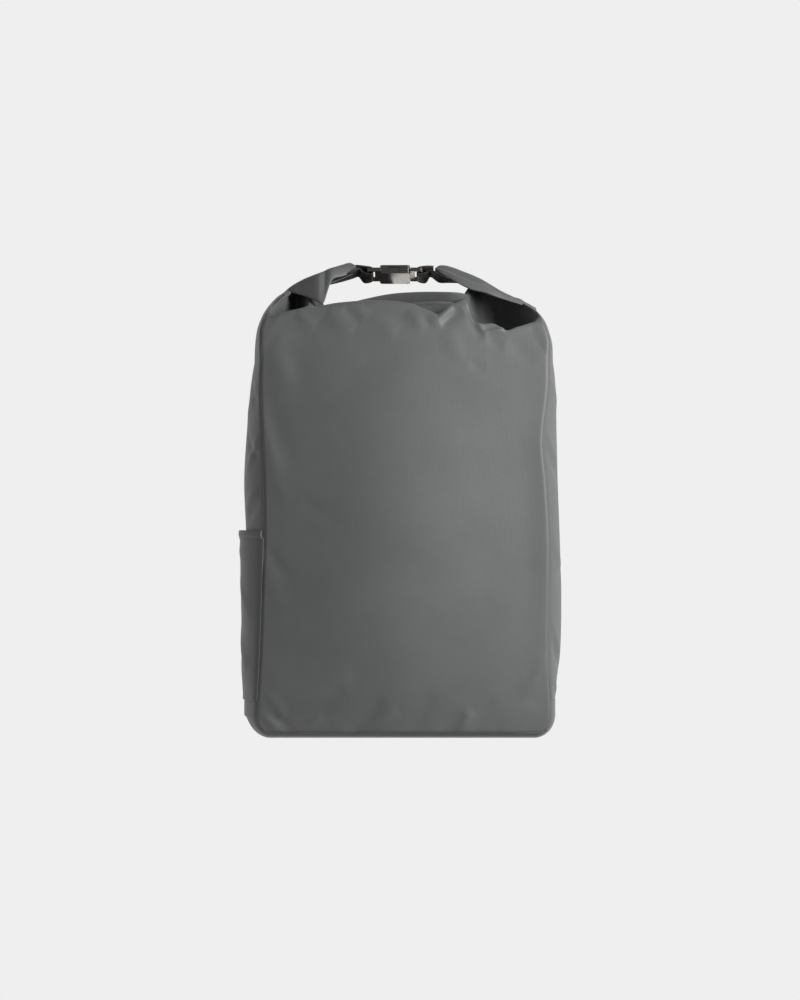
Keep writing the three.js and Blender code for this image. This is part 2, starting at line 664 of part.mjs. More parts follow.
// From its seam at the foot of the back panel up behind the lock's lower bar, round it and down again.
function lowerWebbing(side) {
  const lock = lockMiddle(side);
  const across = new THREE.Vector3(1, 0, 0);
  const hug = LOCK_THICKNESS / 2 + SEAM_GAP + WEBBING / 2;
  const bar = -LOCK_LENGTH / 2 + LOCK_BAR / 2;
  const inside = bar + LOCK_BAR / 2 + SEAM_GAP + WEBBING / 2;
  const seat = backFace(ANCHOR_X, ANCHOR_HEIGHT) + 2 * SEAM_GAP + WEBBING / 2;
  const foot = new THREE.Vector3(side * ANCHOR_X, seat, ANCHOR_HEIGHT);
  const nearLock = (y, z) => lock.clone().add(new THREE.Vector3(0, y, z));
  const behind = nearLock(-hug, bar - LOCK_BAR);
  const run = steps(4).slice(0, -1).map((t) => foot.clone().lerp(behind, t));
  const turn = [behind, nearLock(-hug, inside), nearLock(hug, inside), nearLock(hug, bar - LOCK_BAR)];
  const tail = [0.5, 1].map((t) => nearLock(hug + 3 * t, bar - STRAP_TAIL * t));
  const places = [...run, ...turn, ...tail];
  return ribbon(places.map((at) => ({ at, across, width: WEBBING_WIDTH })), WEBBING);
}

function haulLoop() {
  const half = LOOP_SPAN / 2;
  const across = new THREE.Vector3(0, 0.5, 1).normalize();
  return ribbon(
    steps(14, -1, 1).map((t) => {
      const x = half * t;
      const lift = Math.sqrt(Math.max(0, 1 - t ** 4));
      const seat = backFace(x, LOOP_SEAT) + SEAM_GAP + 6.4;
      const at = new THREE.Vector3(x, seat + LOOP_RISE * lift, LOOP_SEAT + 6 * lift);
      return { at, across, width: WEBBING_WIDTH };
    }),
    WEBBING + 0.8,
  );
}

// The whole bag

function material(color, roughness, metalness = 0) {
  return new THREE.MeshStandardMaterial({ color, roughness, metalness });
}
const cloth = material("#6a6a69", 0.62);
const darkCloth = material("#5f5f5e", 0.66);
const webbing = material("#2b2926", 0.8);
const metal = material("#6f6d69", 0.28, 1);
const plastic = material("#26262a", 0.45);

const bag = new THREE.Group();
function add(name, geometry, finish, parent = bag) {
  const mesh = new THREE.Mesh(geometry, finish);
  mesh.name = name;
  parent.add(mesh);
  return mesh;
}

add("front_panel", broadPanelGeometry(-1), cloth);
add("back_panel", broadPanelGeometry(1), cloth);
add("left_side_panel", sidePanelGeometry(-1), darkCloth);
add("right_side_panel", sidePanelGeometry(1), darkCloth);
add("base_panel", basePanelGeometry(), darkCloth);
add("side_pocket", pocketGeometry(), cloth);
add("pocket_hem", hemGeometry(), cloth);
add("rolled_mouth", rollGeometry(), cloth);

const buckle = new THREE.Group();
buckle.position.set(BUCKLE_X, 0, BUCKLE_HEIGHT);
buckle.rotation.x = (-BUCKLE_TILT * Math.PI) / 180;
bag.add(buckle);
add("buckle_socket", socketGeometry(), metal, buckle);
add("buckle_plug", plugGeometry(), metal, buckle);

for (const [name, side] of [["left", -1], ["right", 1]]) {
  add(name + "_buckle_webbing", buckleWebbing(side), webbing);
  add(name + "_shoulder_strap", strapGeometry(side), darkCloth);
  add(name + "_strap_webbing", lowerWebbing(side), webbing);
  const lock = add(name + "_strap_lock", lockGeometry(), plastic);
  lock.rotation.y = Math.PI / 2;
  lock.rotation.z = Math.PI / 2;
  lock.rotation.order = "ZYX";
  lock.position.copy(lockMiddle(side));
}
add("haul_loop", haulLoop(), webbing);

export default bag;
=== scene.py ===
# %% [markdown]
# # A packed rolltop backpack
# The bag is a box of thin coated nylon, blown out by what is in it. Its mouth is pressed flat, rolled up
# and bent back over the top, where a side-release buckle holds its two ends together as a handle.
# Lengths on the bag are in millimetres, and the one function that makes meshes turns them into metres.
# The frame of the bag is loaded first: it says where each piece of the model belongs.

# %% Load the frame
import bpy
import numpy as np
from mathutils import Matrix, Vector


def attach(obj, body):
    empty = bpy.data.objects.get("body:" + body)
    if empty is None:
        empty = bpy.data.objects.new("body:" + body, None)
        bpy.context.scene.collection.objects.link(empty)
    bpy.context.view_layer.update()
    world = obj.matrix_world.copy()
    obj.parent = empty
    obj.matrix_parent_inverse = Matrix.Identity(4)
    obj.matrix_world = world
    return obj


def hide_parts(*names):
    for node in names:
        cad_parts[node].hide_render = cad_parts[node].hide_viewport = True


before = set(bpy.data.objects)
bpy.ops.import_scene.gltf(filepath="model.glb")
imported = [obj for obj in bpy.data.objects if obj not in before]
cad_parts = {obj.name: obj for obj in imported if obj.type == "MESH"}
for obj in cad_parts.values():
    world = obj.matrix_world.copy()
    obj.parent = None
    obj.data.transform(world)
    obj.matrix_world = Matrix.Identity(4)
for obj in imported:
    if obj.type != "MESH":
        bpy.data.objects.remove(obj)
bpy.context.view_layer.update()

# %% [markdown]
# ## The camera
# The photograph looks straight at the front of the bag from half its height, through a long lens, so
# the picture is 1000 mm tall at the middle of the bag. Blender fits the longer side to the sensor.

# %% Place the camera
CAMERA_AWAY = 4000.0
PICTURE_HEIGHT = 1000.0
camera_data = bpy.data.cameras.new("camera")
camera_data.sensor_fit = "AUTO"
camera_data.sensor_width = 36.0
camera_data.lens = 36.0 * CAMERA_AWAY / PICTURE_HEIGHT
camera = bpy.data.objects.new("camera", camera_data)
camera.location = (-0.002, -CAMERA_AWAY / 1000, 0.235)
camera.rotation_euler = (np.pi / 2, 0, 0)
bpy.context.scene.collection.objects.link(camera)
bpy.context.scene.camera = camera
print("lens", camera_data.lens)

# %% [markdown]
# ## Reading a smooth number from a short table
# A sewn bag has few measurements that matter, such as the width between its seams at a few heights.
# Each table below holds one row for each of those, and a smooth curve through the rows gives the rest.

# %% Tables and smooth curves
def rows(names, values):
    """A table with named columns, from rows of numbers."""
    return dict(zip(names.split(), np.array(values, float).T))


def mix(a, b, t):
    """From a, where t is 0, to b, where t is 1: a and t times their difference."""
    return a + (b - a) * t


def ease(t):
    """A smooth step from 0 to 1: t squared times (3 - 2 t)."""
    t = np.clip(t, 0, 1)
    return t * t * (3 - 2 * t)


def read(table, along, at, column):
    """The column's value at a place along the table: a cubic between two rows, whose slope at each row
    is that of the line between its two neighbours."""
    places, values = table[along], table[column]
    index = np.arange(len(places))
    before, after = np.maximum(index - 1, 0), np.minimum(index + 1, len(places) - 1)
    slope = (values[after] - values[before]) / (places[after] - places[before])
    row = np.clip(np.searchsorted(places, at, side="right") - 1, 0, len(places) - 2)
    span = places[row + 1] - places[row]
    t = np.clip((at - places[row]) / span, 0, 1)
    rise = values[row + 1] - values[row]
    a, b = slope[row] * span - rise, rise - slope[row + 1] * span
    return values[row] + rise * t + t * (1 - t) * (a * (1 - t) + b * t)


def rounded(value, power):
    """A sine or cosine to a power, with its sign kept: the rule of a superellipse."""
    return np.sign(value) * np.abs(value) ** power


def fullness(share, power):
    """How far a held-in panel bellies out: 1 in the middle, 0 at share -1 and 1."""
    return 1 - np.abs(share) ** power


def crown(share, softness=0.45, crest=0.1):
    """As fullness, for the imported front: two nearly flat halves that meet in a soft crest, a little left
    of the middle. It is 1 less a hyperbola, the root of (share squared + softness squared)."""
    share = share + crest * (1 - share ** 2)
    rise = np.sqrt(share ** 2 + softness ** 2) - softness
    return 1 - rise / (np.sqrt(1 + softness ** 2) - softness)


# %% [markdown]
# ## The bag's measurements
# Heights are shares of the fold height, seams are shares of half the front's width, and each belly is
# a share of how far that panel can stand out of its seams.

# %% Measurements
FRONT_WIDTH, DEPTH, FOLD_HEIGHT = 280.0, 140.0, 420.0
HALF_WIDTH, HALF_DEPTH = FRONT_WIDTH / 2, DEPTH / 2
SIDE_BELLY, FRONT_BELLY, BACK_BELLY = 20.0, 24.0, 8.0
CORNER_RADIUS, SEAM_RISE, BASE_HEIGHT, TOP_TAPER = 17.0, 4.0, 38.0, 8.0
BACK_POWER, SIDE_POWER = 2.1, 2.2

SECTIONS = rows("height left right left_belly right_belly front_belly depth", [
    (0.00, 1.035, 1.055, 0.67, 0.38, 0.18, 1.00),
    (0.10, 1.018, 1.052, 0.77, 0.40, 0.60, 1.00),
    (0.20, 1.000, 1.034, 0.68, 0.76, 0.86, 1.00),
    (0.34, 0.985, 1.036, 0.82, 0.83, 1.00, 1.00),
    (0.47, 0.972, 1.036, 0.93, 0.77, 1.00, 1.00),
    (0.60, 0.975, 1.014, 1.02, 0.76, 0.92, 1.00),
    (0.70, 0.986, 0.990, 0.86, 0.79, 0.84, 1.00),
    (0.84, 1.000, 1.034, 0.53, 0.50, 0.66, 0.96),
    (1.00, 0.975, 1.020, 0.19, 0.15, 0.40, 0.86),
])

# The line along which the front panel turns over onto the top, from the left seam to the right one. For
# each place x on it, in millimetres: the height of the fold, how round it is, where the cloth then goes
# into the roll, how far that is in front of the middle, and how deep the hollow is on the way there.
FOLD_LINE = rows("x height radius roll_x roll_height forward hollow", [
    (-140, 408, 18, -112, 441, 16, 0), (-130, 415, 13, -114, 442, 12, 12),
    (-120, 422, 9, -111, 446, -2, 36), (-110, 425, 8, -104, 446, -8, 44),
    (-97, 425, 8, -94, 440, 15, 6), (-85, 425, 10, -84, 435, 16, 8), (-76, 426, 12, -74, 427, 20, 0),
    (-62, 428, 12, -61, 426, 18, 0), (-40, 430, 11, -40, 429, 16, 2), (-12, 430, 10, -12, 432, 14, 4),
    (8, 427, 9, 8, 433, 14, 4), (17, 423, 8, 17, 433, 14, 4), (27, 419, 8, 27, 433, 14, 2),
    (32, 415, 8, 33, 433, 14, 0), (38, 420, 8, 39, 433, 14, 2), (44, 426, 8, 45, 434, 14, 4),
    (51, 429, 8, 53, 435, 14, 4), (58, 430, 8, 60, 438, 14, 2), (62, 428, 8, 66, 445, 8, 10),
    (66, 416, 7, 70, 449, -2, 30), (73, 411, 6, 76, 449, -16, 44), (88, 411, 6, 90, 446, -20, 50),
    (98, 404, 6, 99, 442, -20, 50), (112, 408, 7, 111, 439, -16, 46), (128, 411, 9, 121, 435, 2, 28),
    (140, 402, 15, 122, 430, 16, 0),
])

# The two shoulders, where the seams follow the raised ends of the roll up and in: the share of the
# way, the distance from the bag's middle, the height, and how far from the middle front to back.
LEFT_SHOULDER = rows("share x height depth", [
    (0.0, 136.5, 372, 65), (0.22, 137.5, 390, 63.5), (0.4, 137.5, 404, 61), (0.55, 135, 415, 55),
    (0.7, 130, 424.5, 46), (0.85, 122, 434, 33), (1.0, 112, 441.5, 17),
])
RIGHT_SHOULDER = rows("share x height depth", [
    (0.0, 142.5, 372, 65), (0.25, 143.5, 390, 63.5), (0.43, 141.5, 402, 61), (0.58, 139, 411, 55),
    (0.72, 135, 418, 46), (0.86, 130, 424, 33), (1.0, 122, 429.5, 17),
])
print("rows of sections", len(SECTIONS["height"]), "and of the fold line", len(FOLD_LINE["x"]))

# %% [markdown]
# ## The panels as surfaces
# A panel is a function of two numbers: how far across it, and how far up. Up its face it follows the
# seams and bellies. Over the top it is a smooth curve pulled by a few points: up to the fold, back into
# the hollow under the roll, and up to the line where the roll begins.

# %% Panel surfaces
def section(height, column):
    """A column of the table of sections, at a height in millimetres."""
    return read(SECTIONS, "height", np.asarray(height) / FOLD_HEIGHT, column)


def seam_x(side, end, height):
    """Where a seam is across the bag: side is -1 left or 1 right, end is -1 front or 1 back."""
    share = section(height, "left" if side < 0 else "right")
    if end > 0:
        share = section(height, "left") * 0.5 + 0.5
        share = share - TOP_TAPER / HALF_WIDTH * ease((height / FOLD_HEIGHT - 0.85) / 0.15)
    return side * HALF_WIDTH * share


def face(end, across, height):
    """A point of the front or back panel's face. Its lower corners are quarter circles."""
    low = np.clip((height - SEAM_RISE) / CORNER_RADIUS, 0, 1)
    inset = CORNER_RADIUS * (1 - np.sqrt(1 - (1 - low) ** 2))
    left, right = seam_x(-1, end, height) + inset, seam_x(1, end, height) - inset
    belly = (FRONT_BELLY if end < 0 else BACK_BELLY) * section(height, "front_belly")
    full = crown(across) if end < 0 else fullness(across, BACK_POWER)
    y = end * (HALF_DEPTH * section(height, "depth") + belly * full)
    return np.stack(np.broadcast_arrays(mix(left, right, (across + 1) / 2), y, height), -1)


def spline(points, t):
    """A clamped cubic B-spline: each point of the curve is a blend of four of the points that pull it."""
    count = len(points)
    knots = np.concatenate([[0] * 3, np.linspace(0, 1, count - 2), [1] * 3])
    t = np.clip(t, 0, 1 - 1e-9)
    basis = [(knots[i] <= t) & (t < knots[i + 1]) for i in range(len(knots) - 1)]
    basis = [b.astype(float) for b in basis]
    for degree in (1, 2, 3):
        following = []
        for i in range(len(basis) - 1):
            a, b = knots[i + degree] - knots[i], knots[i + degree + 1] - knots[i + 1]
            left = (t - knots[i]) / a * basis[i] if a else 0
            right = (knots[i + degree + 1] - t) / b * basis[i + 1] if b else 0
            following.append(left + right)
        basis = following
    return sum(b[..., None] * p for b, p in zip(basis, points))


def fold_line(end, across, column):
    """A column of the fold line. The back's fold is a plain arch that goes straight into the roll."""
    x = across * HALF_WIDTH
    if end < 0:
        return read(FOLD_LINE, "x", x, column)
    arch = np.abs(across) ** 3
    plain = {"height": 431 - 26 * arch, "radius": 20 - 3 * arch, "hollow": 6 * arch,
             "forward": 20 - 6 * arch}
    return plain[column] if column in plain else read(FOLD_LINE, "x", x, column)


def foot_height(end, across):
    """The height at which a broad panel's face ends and its fold begins."""
    return fold_line(end, across, "height") - 2 * fold_line(end, across, "radius")


def shoulder(side, end, share, start):
    """A thread of the cloth next to a seam, on its way over a shoulder from its start to the roll."""
    table = LEFT_SHOULDER if side < 0 else RIGHT_SHOULDER
    x, height, depth = (read(table, "share", share, column) for column in ("x", "height", "depth"))
    first = np.array([side * table["x"][0], end * table["depth"][0], table["height"][0]])
    return np.stack([side * x, end * depth, height], -1) + (start - first) * (1 - ease(share))[..., None]


def broad_panel(end, across, rise):
    """The front or back panel: rise is 0 to 1 up its face and 1 to 2 over the fold to the roll."""
    fold, radius, hollow, forward, roll_x, roll_height = (
        fold_line(end, across, column)
        for column in ("height", "radius", "hollow", "forward", "roll_x", "roll_height"))
    foot = fold - 2 * radius
    lower = face(end, across, mix(SEAM_RISE, foot, np.minimum(rise, 1)))
    start, below = face(end, across, foot), face(end, across, fold - radius)
    x, y = below[..., 0], below[..., 1]
    pulls = [
        start,
        below,
        np.stack([x, y, fold + 0.3 * radius], -1),
        np.stack([mix(x, roll_x, 0.25), y - end * 1.3 * radius,
                  fold + 0.1 * radius - 0.3 * hollow], -1),
        np.stack([mix(x, roll_x, 0.7), end * (forward + 12),
                  mix(fold, roll_height, 0.55) - hollow], -1),
        np.stack([roll_x, end * forward, roll_height - 0.5 * hollow - 1], -1),
        np.stack([roll_x, end * (forward - 1), roll_height], -1),
    ]
    upper = spline(pulls, rise - 1)
    near_seam = ease((np.abs(across) - 0.83) / 0.13)[..., None]
    way = np.clip(rise - 1, 0, 1)
    left, right = shoulder(-1, end, way, start), shoulder(1, end, way, start)
    edge = np.where((across < 0)[..., None], left, right)
    return np.where((rise <= 1)[..., None], lower, mix(upper, edge, near_seam))


def side_panel(side, across, rise):
    """A side panel: across is 0 at its front seam and 1 at its back seam. Over the shoulder its belly
    turns from sideways to upwards."""
    edge = side + 0 * across
    front, back = broad_panel(-1, edge, rise), broad_panel(1, edge, rise)
    height = np.minimum(front[..., 2], FOLD_HEIGHT)
    belly = SIDE_BELLY * section(height, "left_belly" if side < 0 else "right_belly")
    belly = np.maximum(belly, 4.5 if side < 0 else 3.0)
    turn = np.pi / 4 * ease((rise - 1.3) / 0.5)
    full = belly * fullness(2 * across - 1, SIDE_POWER)
    point = mix(front, back, across[..., None])
    point[..., 0] += side * full * np.cos(turn)
    point[..., 2] += full * np.sin(turn)
    return point


# %% [markdown]
# ## Turning surfaces into meshes
# A surface worked out on a grid becomes a mesh with four-cornered faces. Its UV map holds real
# distances in metres along the cloth, so that a weave drawn on it has the same scale everywhere.
# A Solidify modifier then gives the cloth its thickness, inwards from the face that shows.

# %% Meshes from grids
def new_mesh(name, points, quads, uv=None):
    """A mesh object from points in millimetres and four-cornered faces."""
    mesh = bpy.data.meshes.new(name)
    mesh.vertices.add(len(points))
    mesh.vertices.foreach_set("co", (np.asarray(points) / 1000).ravel())
    mesh.loops.add(quads.size)
    mesh.loops.foreach_set("vertex_index", quads.ravel())
    mesh.polygons.add(len(quads))
    mesh.polygons.foreach_set("loop_start", np.arange(len(quads)) * 4)
    mesh.polygons.foreach_set("loop_total", np.full(len(quads), 4))
    mesh.polygons.foreach_set("use_smooth", np.ones(len(quads), bool))
    if uv is not None:
        layer = mesh.uv_layers.new(name="cloth")
        layer.data.foreach_set("uv", uv[quads.ravel()].ravel())
    mesh.update(calc_edges=True)
    mesh.validate()
    piece = bpy.data.objects.new(name, mesh)
    bpy.context.scene.collection.objects.link(piece)
    return piece


def lengths(points, axis):
    """Distance along the rows or columns of a grid, in metres, from its middle."""
    step = np.linalg.norm(np.diff(points, axis=axis), axis=-1) / 1000
    step = np.concatenate([np.zeros_like(np.take(step, [0], axis)), step], axis)
    total = np.cumsum(step, axis)
    return total - np.take(total, [total.shape[axis] // 2], axis)


def pushed(points, outward, by):
    """A grid of points moved along its own normals, on the side of the outward direction."""
    normal = np.cross(np.gradient(points, axis=0), np.gradient(points, axis=1))
    normal /= np.maximum(np.linalg.norm(normal, axis=-1, keepdims=True), 1e-9)
    if (normal @ np.asarray(outward, float)).mean() < 0:
        normal = -normal
    return points + normal * by[..., None]


CLOTH_WALL = 1.6


def cloth(name, points, outward, wall=CLOTH_WALL):
    """A sheet of cloth from a grid of points, with its faces turned to the outward direction."""
    n, m = points.shape[:2]
    index = np.arange(n * m).reshape(n, m)
    quads = np.stack([index[:-1, :-1], index[1:, :-1], index[1:, 1:], index[:-1, 1:]], -1)
    quads = quads.reshape(-1, 4)
    corner = points[:-1, :-1]
    normal = np.cross(points[1:, :-1] - corner, points[:-1, 1:] - corner).mean((0, 1))
    if normal @ np.asarray(outward) < 0:
        quads = quads[:, ::-1]
    uv = np.stack([lengths(points, 0), lengths(points, 1)], -1).reshape(-1, 2)
    piece = new_mesh(name, points.reshape(-1, 3), np.ascontiguousarray(quads), uv)
    if wall:
        thick = piece.modifiers.new("thickness", "SOLIDIFY")
        thick.thickness = wall / 1000
        thick.offset = -1
    return piece


DRAWN_IN = 0.5, 0.02


def closed_loft(name, loops):
    """A tube through closed loops. Each end is drawn in by two loops, the last one a tiny opening."""
    first, last = loops[0], loops[-1]
    start = [mix(first.mean(0), first, share) for share in DRAWN_IN[::-1]]
    end = [mix(last.mean(0), last, share) for share in DRAWN_IN]
    loops = np.concatenate([start, loops, end])
    n, m = loops.shape[:2]
    index = np.arange(n * m).reshape(n, m)
    around = np.roll(index, -1, 1)
    quads = np.stack([index[:-1], index[1:], around[1:], around[:-1]], -1).reshape(-1, 4)
    out = (loops - loops.mean(1, keepdims=True))[:-1]
    normal = np.cross(loops[1:] - loops[:-1], np.roll(loops, -1, 1)[:-1] - loops[:-1])
    if (normal * out).sum() < 0:
        quads = quads[:, ::-1]
    uv = np.stack([lengths(loops, 0), lengths(loops, 1)], -1).reshape(-1, 2)
    return new_mesh(name, loops.reshape(-1, 3), np.ascontiguousarray(quads), uv)


# %% [markdown]
# ## Folds
# Thin cloth that is pulled between its seams makes long soft folds, and crumples where it has to turn
# a corner. Each row below is one fold as it is seen from the front: where it starts and ends, how wide
# and high it is, and how far its middle bends to one side. A negative height is a dent.

# %% Folds on a grid
def fold_height(u, v, folds):
    """The sum of all folds at places (u, v): across a fold a bell curve of the distance to its line,
    and along it a half wave, so that each end fades away."""
    total = np.zeros_like(u)
    for u1, v1, u2, v2, width, height, bend in folds:
        du, dv = u2 - u1, v2 - v1
        length = np.hypot(du, dv)
        t = ((u - u1) * du + (v - v1) * dv) / length ** 2
        off = ((u - u1) * dv - (v - v1) * du) / length - bend * 4 * t * (1 - t)
        inside = np.clip(t, 0, 1)
        along = np.sin(np.pi * inside) ** 0.7
        total += height * along * np.exp(-(off / width) ** 2) * ((t > 0) & (t < 1))
    return total


FRONT_FOLDS = [
    # upper left, soft pulls from the shoulder
    (-120, 412, -112, 330, 13, 1.8, 3), (-134, 345, -100, 262, 10, -0.9, 5),
    (-139, 330, -118, 262, 6, 0.8, 3), (-136, 300, -112, 230, 7, 0.7, 2), (-120, 392, -92, 352, 9, -0.8, 2),
    (-100, 236, -62, 214, 8, -0.7, 2), (-133, 192, -108, 154, 7, -1.0, 3), (-132, 172, -112, 120, 9, 0.7, 3),
    # along the right seam, and a small dimple near the upper right
    (141, 60, 143, 380, 15, 2.2, 3), (66, 371, 82, 365, 5, -0.5, 1), (64, 377, 86, 372, 5, 0.3, 1),
    # top middle
    (-40, 424, 14, 414, 6, -1.2, 2), (26, 410, 50, 426, 5, 2.0, 2), (38, 408, 60, 420, 6, -1.8, -2),
    (-74, 420, -46, 404, 8, 1.4, 3), (-30, 416, -6, 396, 9, 1.0, -3), (44, 404, 62, 372, 9, 0.8, 2),
    (-104, 420, -84, 408, 5, 1.2, 2), (4, 420, 22, 402, 6, 1.1, -2), (-58, 424, -40, 412, 5, -1.2, 1),
    # under the right flap
    (74, 411, 84, 396, 3, 2.0, 1), (80, 399, 104, 404, 2.5, 2.0, 0), (64, 426, 80, 394, 6, -0.8, 1),
    (84, 396, 100, 384, 5, -0.6, 1), (92, 398, 128, 404, 6, 0.7, -2), (104, 392, 132, 372, 8, -0.6, 2),
    # lower left, crumpled
    (-120, 10, -56, 48, 9, -1.9, 4), (-120, 34, -48, 66, 12, 1.5, 4), (-134, 44, -116, 20, 5, 1.2, -3),
    (-140, 26, -122, 6, 4, 0.9, -2), (-132, 24, -108, 8, 4.5, -1.1, -2), (-118, 5, -96, 16, 5, 0.7, 2),
    (-104, 8, -78, 24, 5, 1.2, 2),
    # lower middle and right
    (-56, 6, -18, 42, 8, -1.7, 3), (-42, 6, -4, 30, 8, 1.3, 3), (0, 6, 30, 44, 8, -1.2, 3),
    (36, 6, 60, 26, 6, -0.9, -3), (54, 6, 68, 30, 5, 1.6, 1), (70, 6, 92, 40, 8, -1.0, -2),
    (96, 8, 132, 34, 8, 1.2, -4), (118, 44, 142, 84, 7, 0.9, 3),
]
print("folds on the front", len(FRONT_FOLDS))

# %% [markdown]
# ## Materials
# Colours are written as the sRGB hex values that a paint program shows, and one function turns them
# into the linear numbers that Blender's shaders work with.

# %% Colour and node helpers
WAVES = 20 / (2 * np.pi)  # how many stripes a wave texture of scale 1 has in a metre


def linear(hex_value):
    """sRGB hex to linear light: a straight line near black and a power of 2.4 above it."""
    c = np.array([int(hex_value[i:i + 2], 16) / 255 for i in (1, 3, 5)])
    c = np.where(c <= 0.04045, c / 12.92, ((c + 0.055) / 1.055) ** 2.4)
    return (*c, 1.0)


def add(material, kind, links=(), **settings):
    """Adds a node, sets its sockets or properties by name, and links outputs to its named sockets."""
    node = material.node_tree.nodes.new(kind)
    for name, value in settings.items():
        plain = name.replace("_", " ")
        match = [s for s in node.inputs if s.name.lower() == plain.lower() and s.enabled]
        if match:
            match[0].default_value = value
        else:
            setattr(node, name, value)
    for socket, output in dict(links).items():
        material.node_tree.links.new(output, node.inputs[socket])
    return node


def new_material(name):
    """An empty node material."""
    material = bpy.data.materials.new(name)
    material.use_nodes = True
    material.node_tree.nodes.clear()
    return material


def finish_material(material, shader):
    """Links the shader to the material's output."""
    out = add(material, "ShaderNodeOutputMaterial")
    material.node_tree.links.new(shader.outputs[0], out.inputs["Surface"])
    return material


# %% [markdown]
# ### Coated nylon
# The bag is plain-weave nylon with a thin polyurethane coating: mid grey, a little glossy where light
# glances along it, and nearly smooth. The threads are about 0.25 mm apart, far too fine to show at one
# millimetre to the pixel. A faint weave 5.7 mm from thread to thread is drawn instead, far coarser than
# the real one. Noise of 71 and 26 mm makes the coating a little uneven, and one of 2.4 mm specks it.

# %% Coated nylon
def coated_nylon(name, colour, pale, thread=5.655, rough=0.5):
    """The weave is the product of two crossed sine waves. Three noises, with their sizes in
    millimetres, tint the cloth, speck it and move its surface."""
    m = new_material(name)
    uv = add(m, "ShaderNodeUVMap", uv_map="cloth")
    place = add(m, "ShaderNodeTexCoord")
    warp, weft = (
        add(m, "ShaderNodeTexWave", {"Vector": uv.outputs["UV"]}, wave_type="BANDS", wave_profile="SIN",
            bands_direction=direction, Scale=1000 / thread / WAVES, Distortion=0.6, Detail=1.0,
            Detail_Scale=2.0)
        for direction in "XY")
    weave = add(m, "ShaderNodeMath", {0: warp.outputs["Fac"], 1: weft.outputs["Fac"]}, operation="MULTIPLY")
    cloudy, fine, rumple = (
        add(m, "ShaderNodeTexNoise", {"Vector": place.outputs["Object"]}, Scale=1000 / size,
            Detail=detail, Roughness=rough_share)
        for size, detail, rough_share in ((71.43, 4.0, 0.6), (2.381, 3.0, 0.6), (26.32, 3.0, 0.55)))
    tint = add(m, "ShaderNodeValToRGB", {"Fac": cloudy.outputs["Fac"]})
    tint.color_ramp.elements[0].position, tint.color_ramp.elements[0].color = 0.35, linear(colour)
    tint.color_ramp.elements[1].position, tint.color_ramp.elements[1].color = 0.65, linear(pale)
    speck = add(m, "ShaderNodeMix", {6: tint.outputs["Color"], 7: fine.outputs["Color"]},
                data_type="RGBA", blend_type="MULTIPLY")
    speck.inputs["Factor"].default_value = 0.10
    gloss = add(m, "ShaderNodeMapRange", {"Value": cloudy.outputs["Fac"]},
                To_Min=rough - 0.04, To_Max=rough + 0.04)
    bump = add(m, "ShaderNodeBump", {"Height": weave.outputs[0]}, Strength=0.12, Distance=0.0002)
    soft = add(m, "ShaderNodeBump", {"Height": rumple.outputs["Fac"], "Normal": bump.outputs["Normal"]},
               Strength=0.2, Distance=0.0012)
    shader = add(m, "ShaderNodeBsdfPrincipled",
                 {"Base Color": speck.outputs[2], "Roughness": gloss.outputs["Result"],
                  "Normal": soft.outputs["Normal"]},
                 IOR=1.5, Specular_IOR_Level=0.35, Sheen_Weight=0.1, Sheen_Roughness=0.5)
    return finish_material(m, shader)


nylon = coated_nylon("coated_nylon", "#5c5d5d", "#616262")
strap_nylon = coated_nylon("strap_nylon", "#565757", "#5b5c5c", thread=6.912, rough=0.6)
print("materials", [m.name for m in bpy.data.materials])

# %% [markdown]
# ### Polypropylene webbing
# Webbing is woven in ribs along its length. Its yarn is dull and nearly black, a little brown. The
# ribs are drawn 10 mm apart and the picks that cross them 6.3 mm apart, far coarser than real ones.

# %% Webbing and buckle finishes
def ribbed_webbing(name, colour, pale, rib=10.053, pick=6.283):
    """Ribs along the webbing and picks across it, the sum of two crossed sine waves."""
    m = new_material(name)
    uv = add(m, "ShaderNodeUVMap", uv_map="cloth")
    ribs, picks = (
        add(m, "ShaderNodeTexWave", {"Vector": uv.outputs["UV"]}, wave_type="BANDS",
            bands_direction=direction, Scale=1000 / spacing / WAVES, Distortion=0.4)
        for direction, spacing in (("Y", rib), ("X", pick)))
    both = add(m, "ShaderNodeMath", {0: ribs.outputs["Fac"], 1: picks.outputs["Fac"]}, operation="ADD")
    tint = add(m, "ShaderNodeValToRGB", {"Fac": ribs.outputs["Fac"]})
    tint.color_ramp.elements[0].color, tint.color_ramp.elements[1].color = linear(colour), linear(pale)
    bump = add(m, "ShaderNodeBump", {"Height": both.outputs[0]}, Strength=0.5, Distance=0.0003)
    shader = add(m, "ShaderNodeBsdfPrincipled",
                 {"Base Color": tint.outputs["Color"], "Normal": bump.outputs["Normal"]},
                 Roughness=0.62, IOR=1.5)
    return finish_material(m, shader)


def plated_metal(name, colour, mark=11.11):
    """Die-cast zinc with a dark nickel plating: polished, with faint rubbing marks, noise of 11 mm."""
    m = new_material(name)
    place = add(m, "ShaderNodeTexCoord")
    marks = add(m, "ShaderNodeTexNoise", {"Vector": place.outputs["Object"]}, Scale=1000 / mark, Detail=3.0)
    gloss = add(m, "ShaderNodeMapRange", {"Value": marks.outputs["Fac"]}, To_Min=0.2, To_Max=0.34)
    shader = add(m, "ShaderNodeBsdfPrincipled", {"Roughness": gloss.outputs["Result"]},
                 Metallic=1.0, Base_Color=linear(colour))
    return finish_material(m, shader)


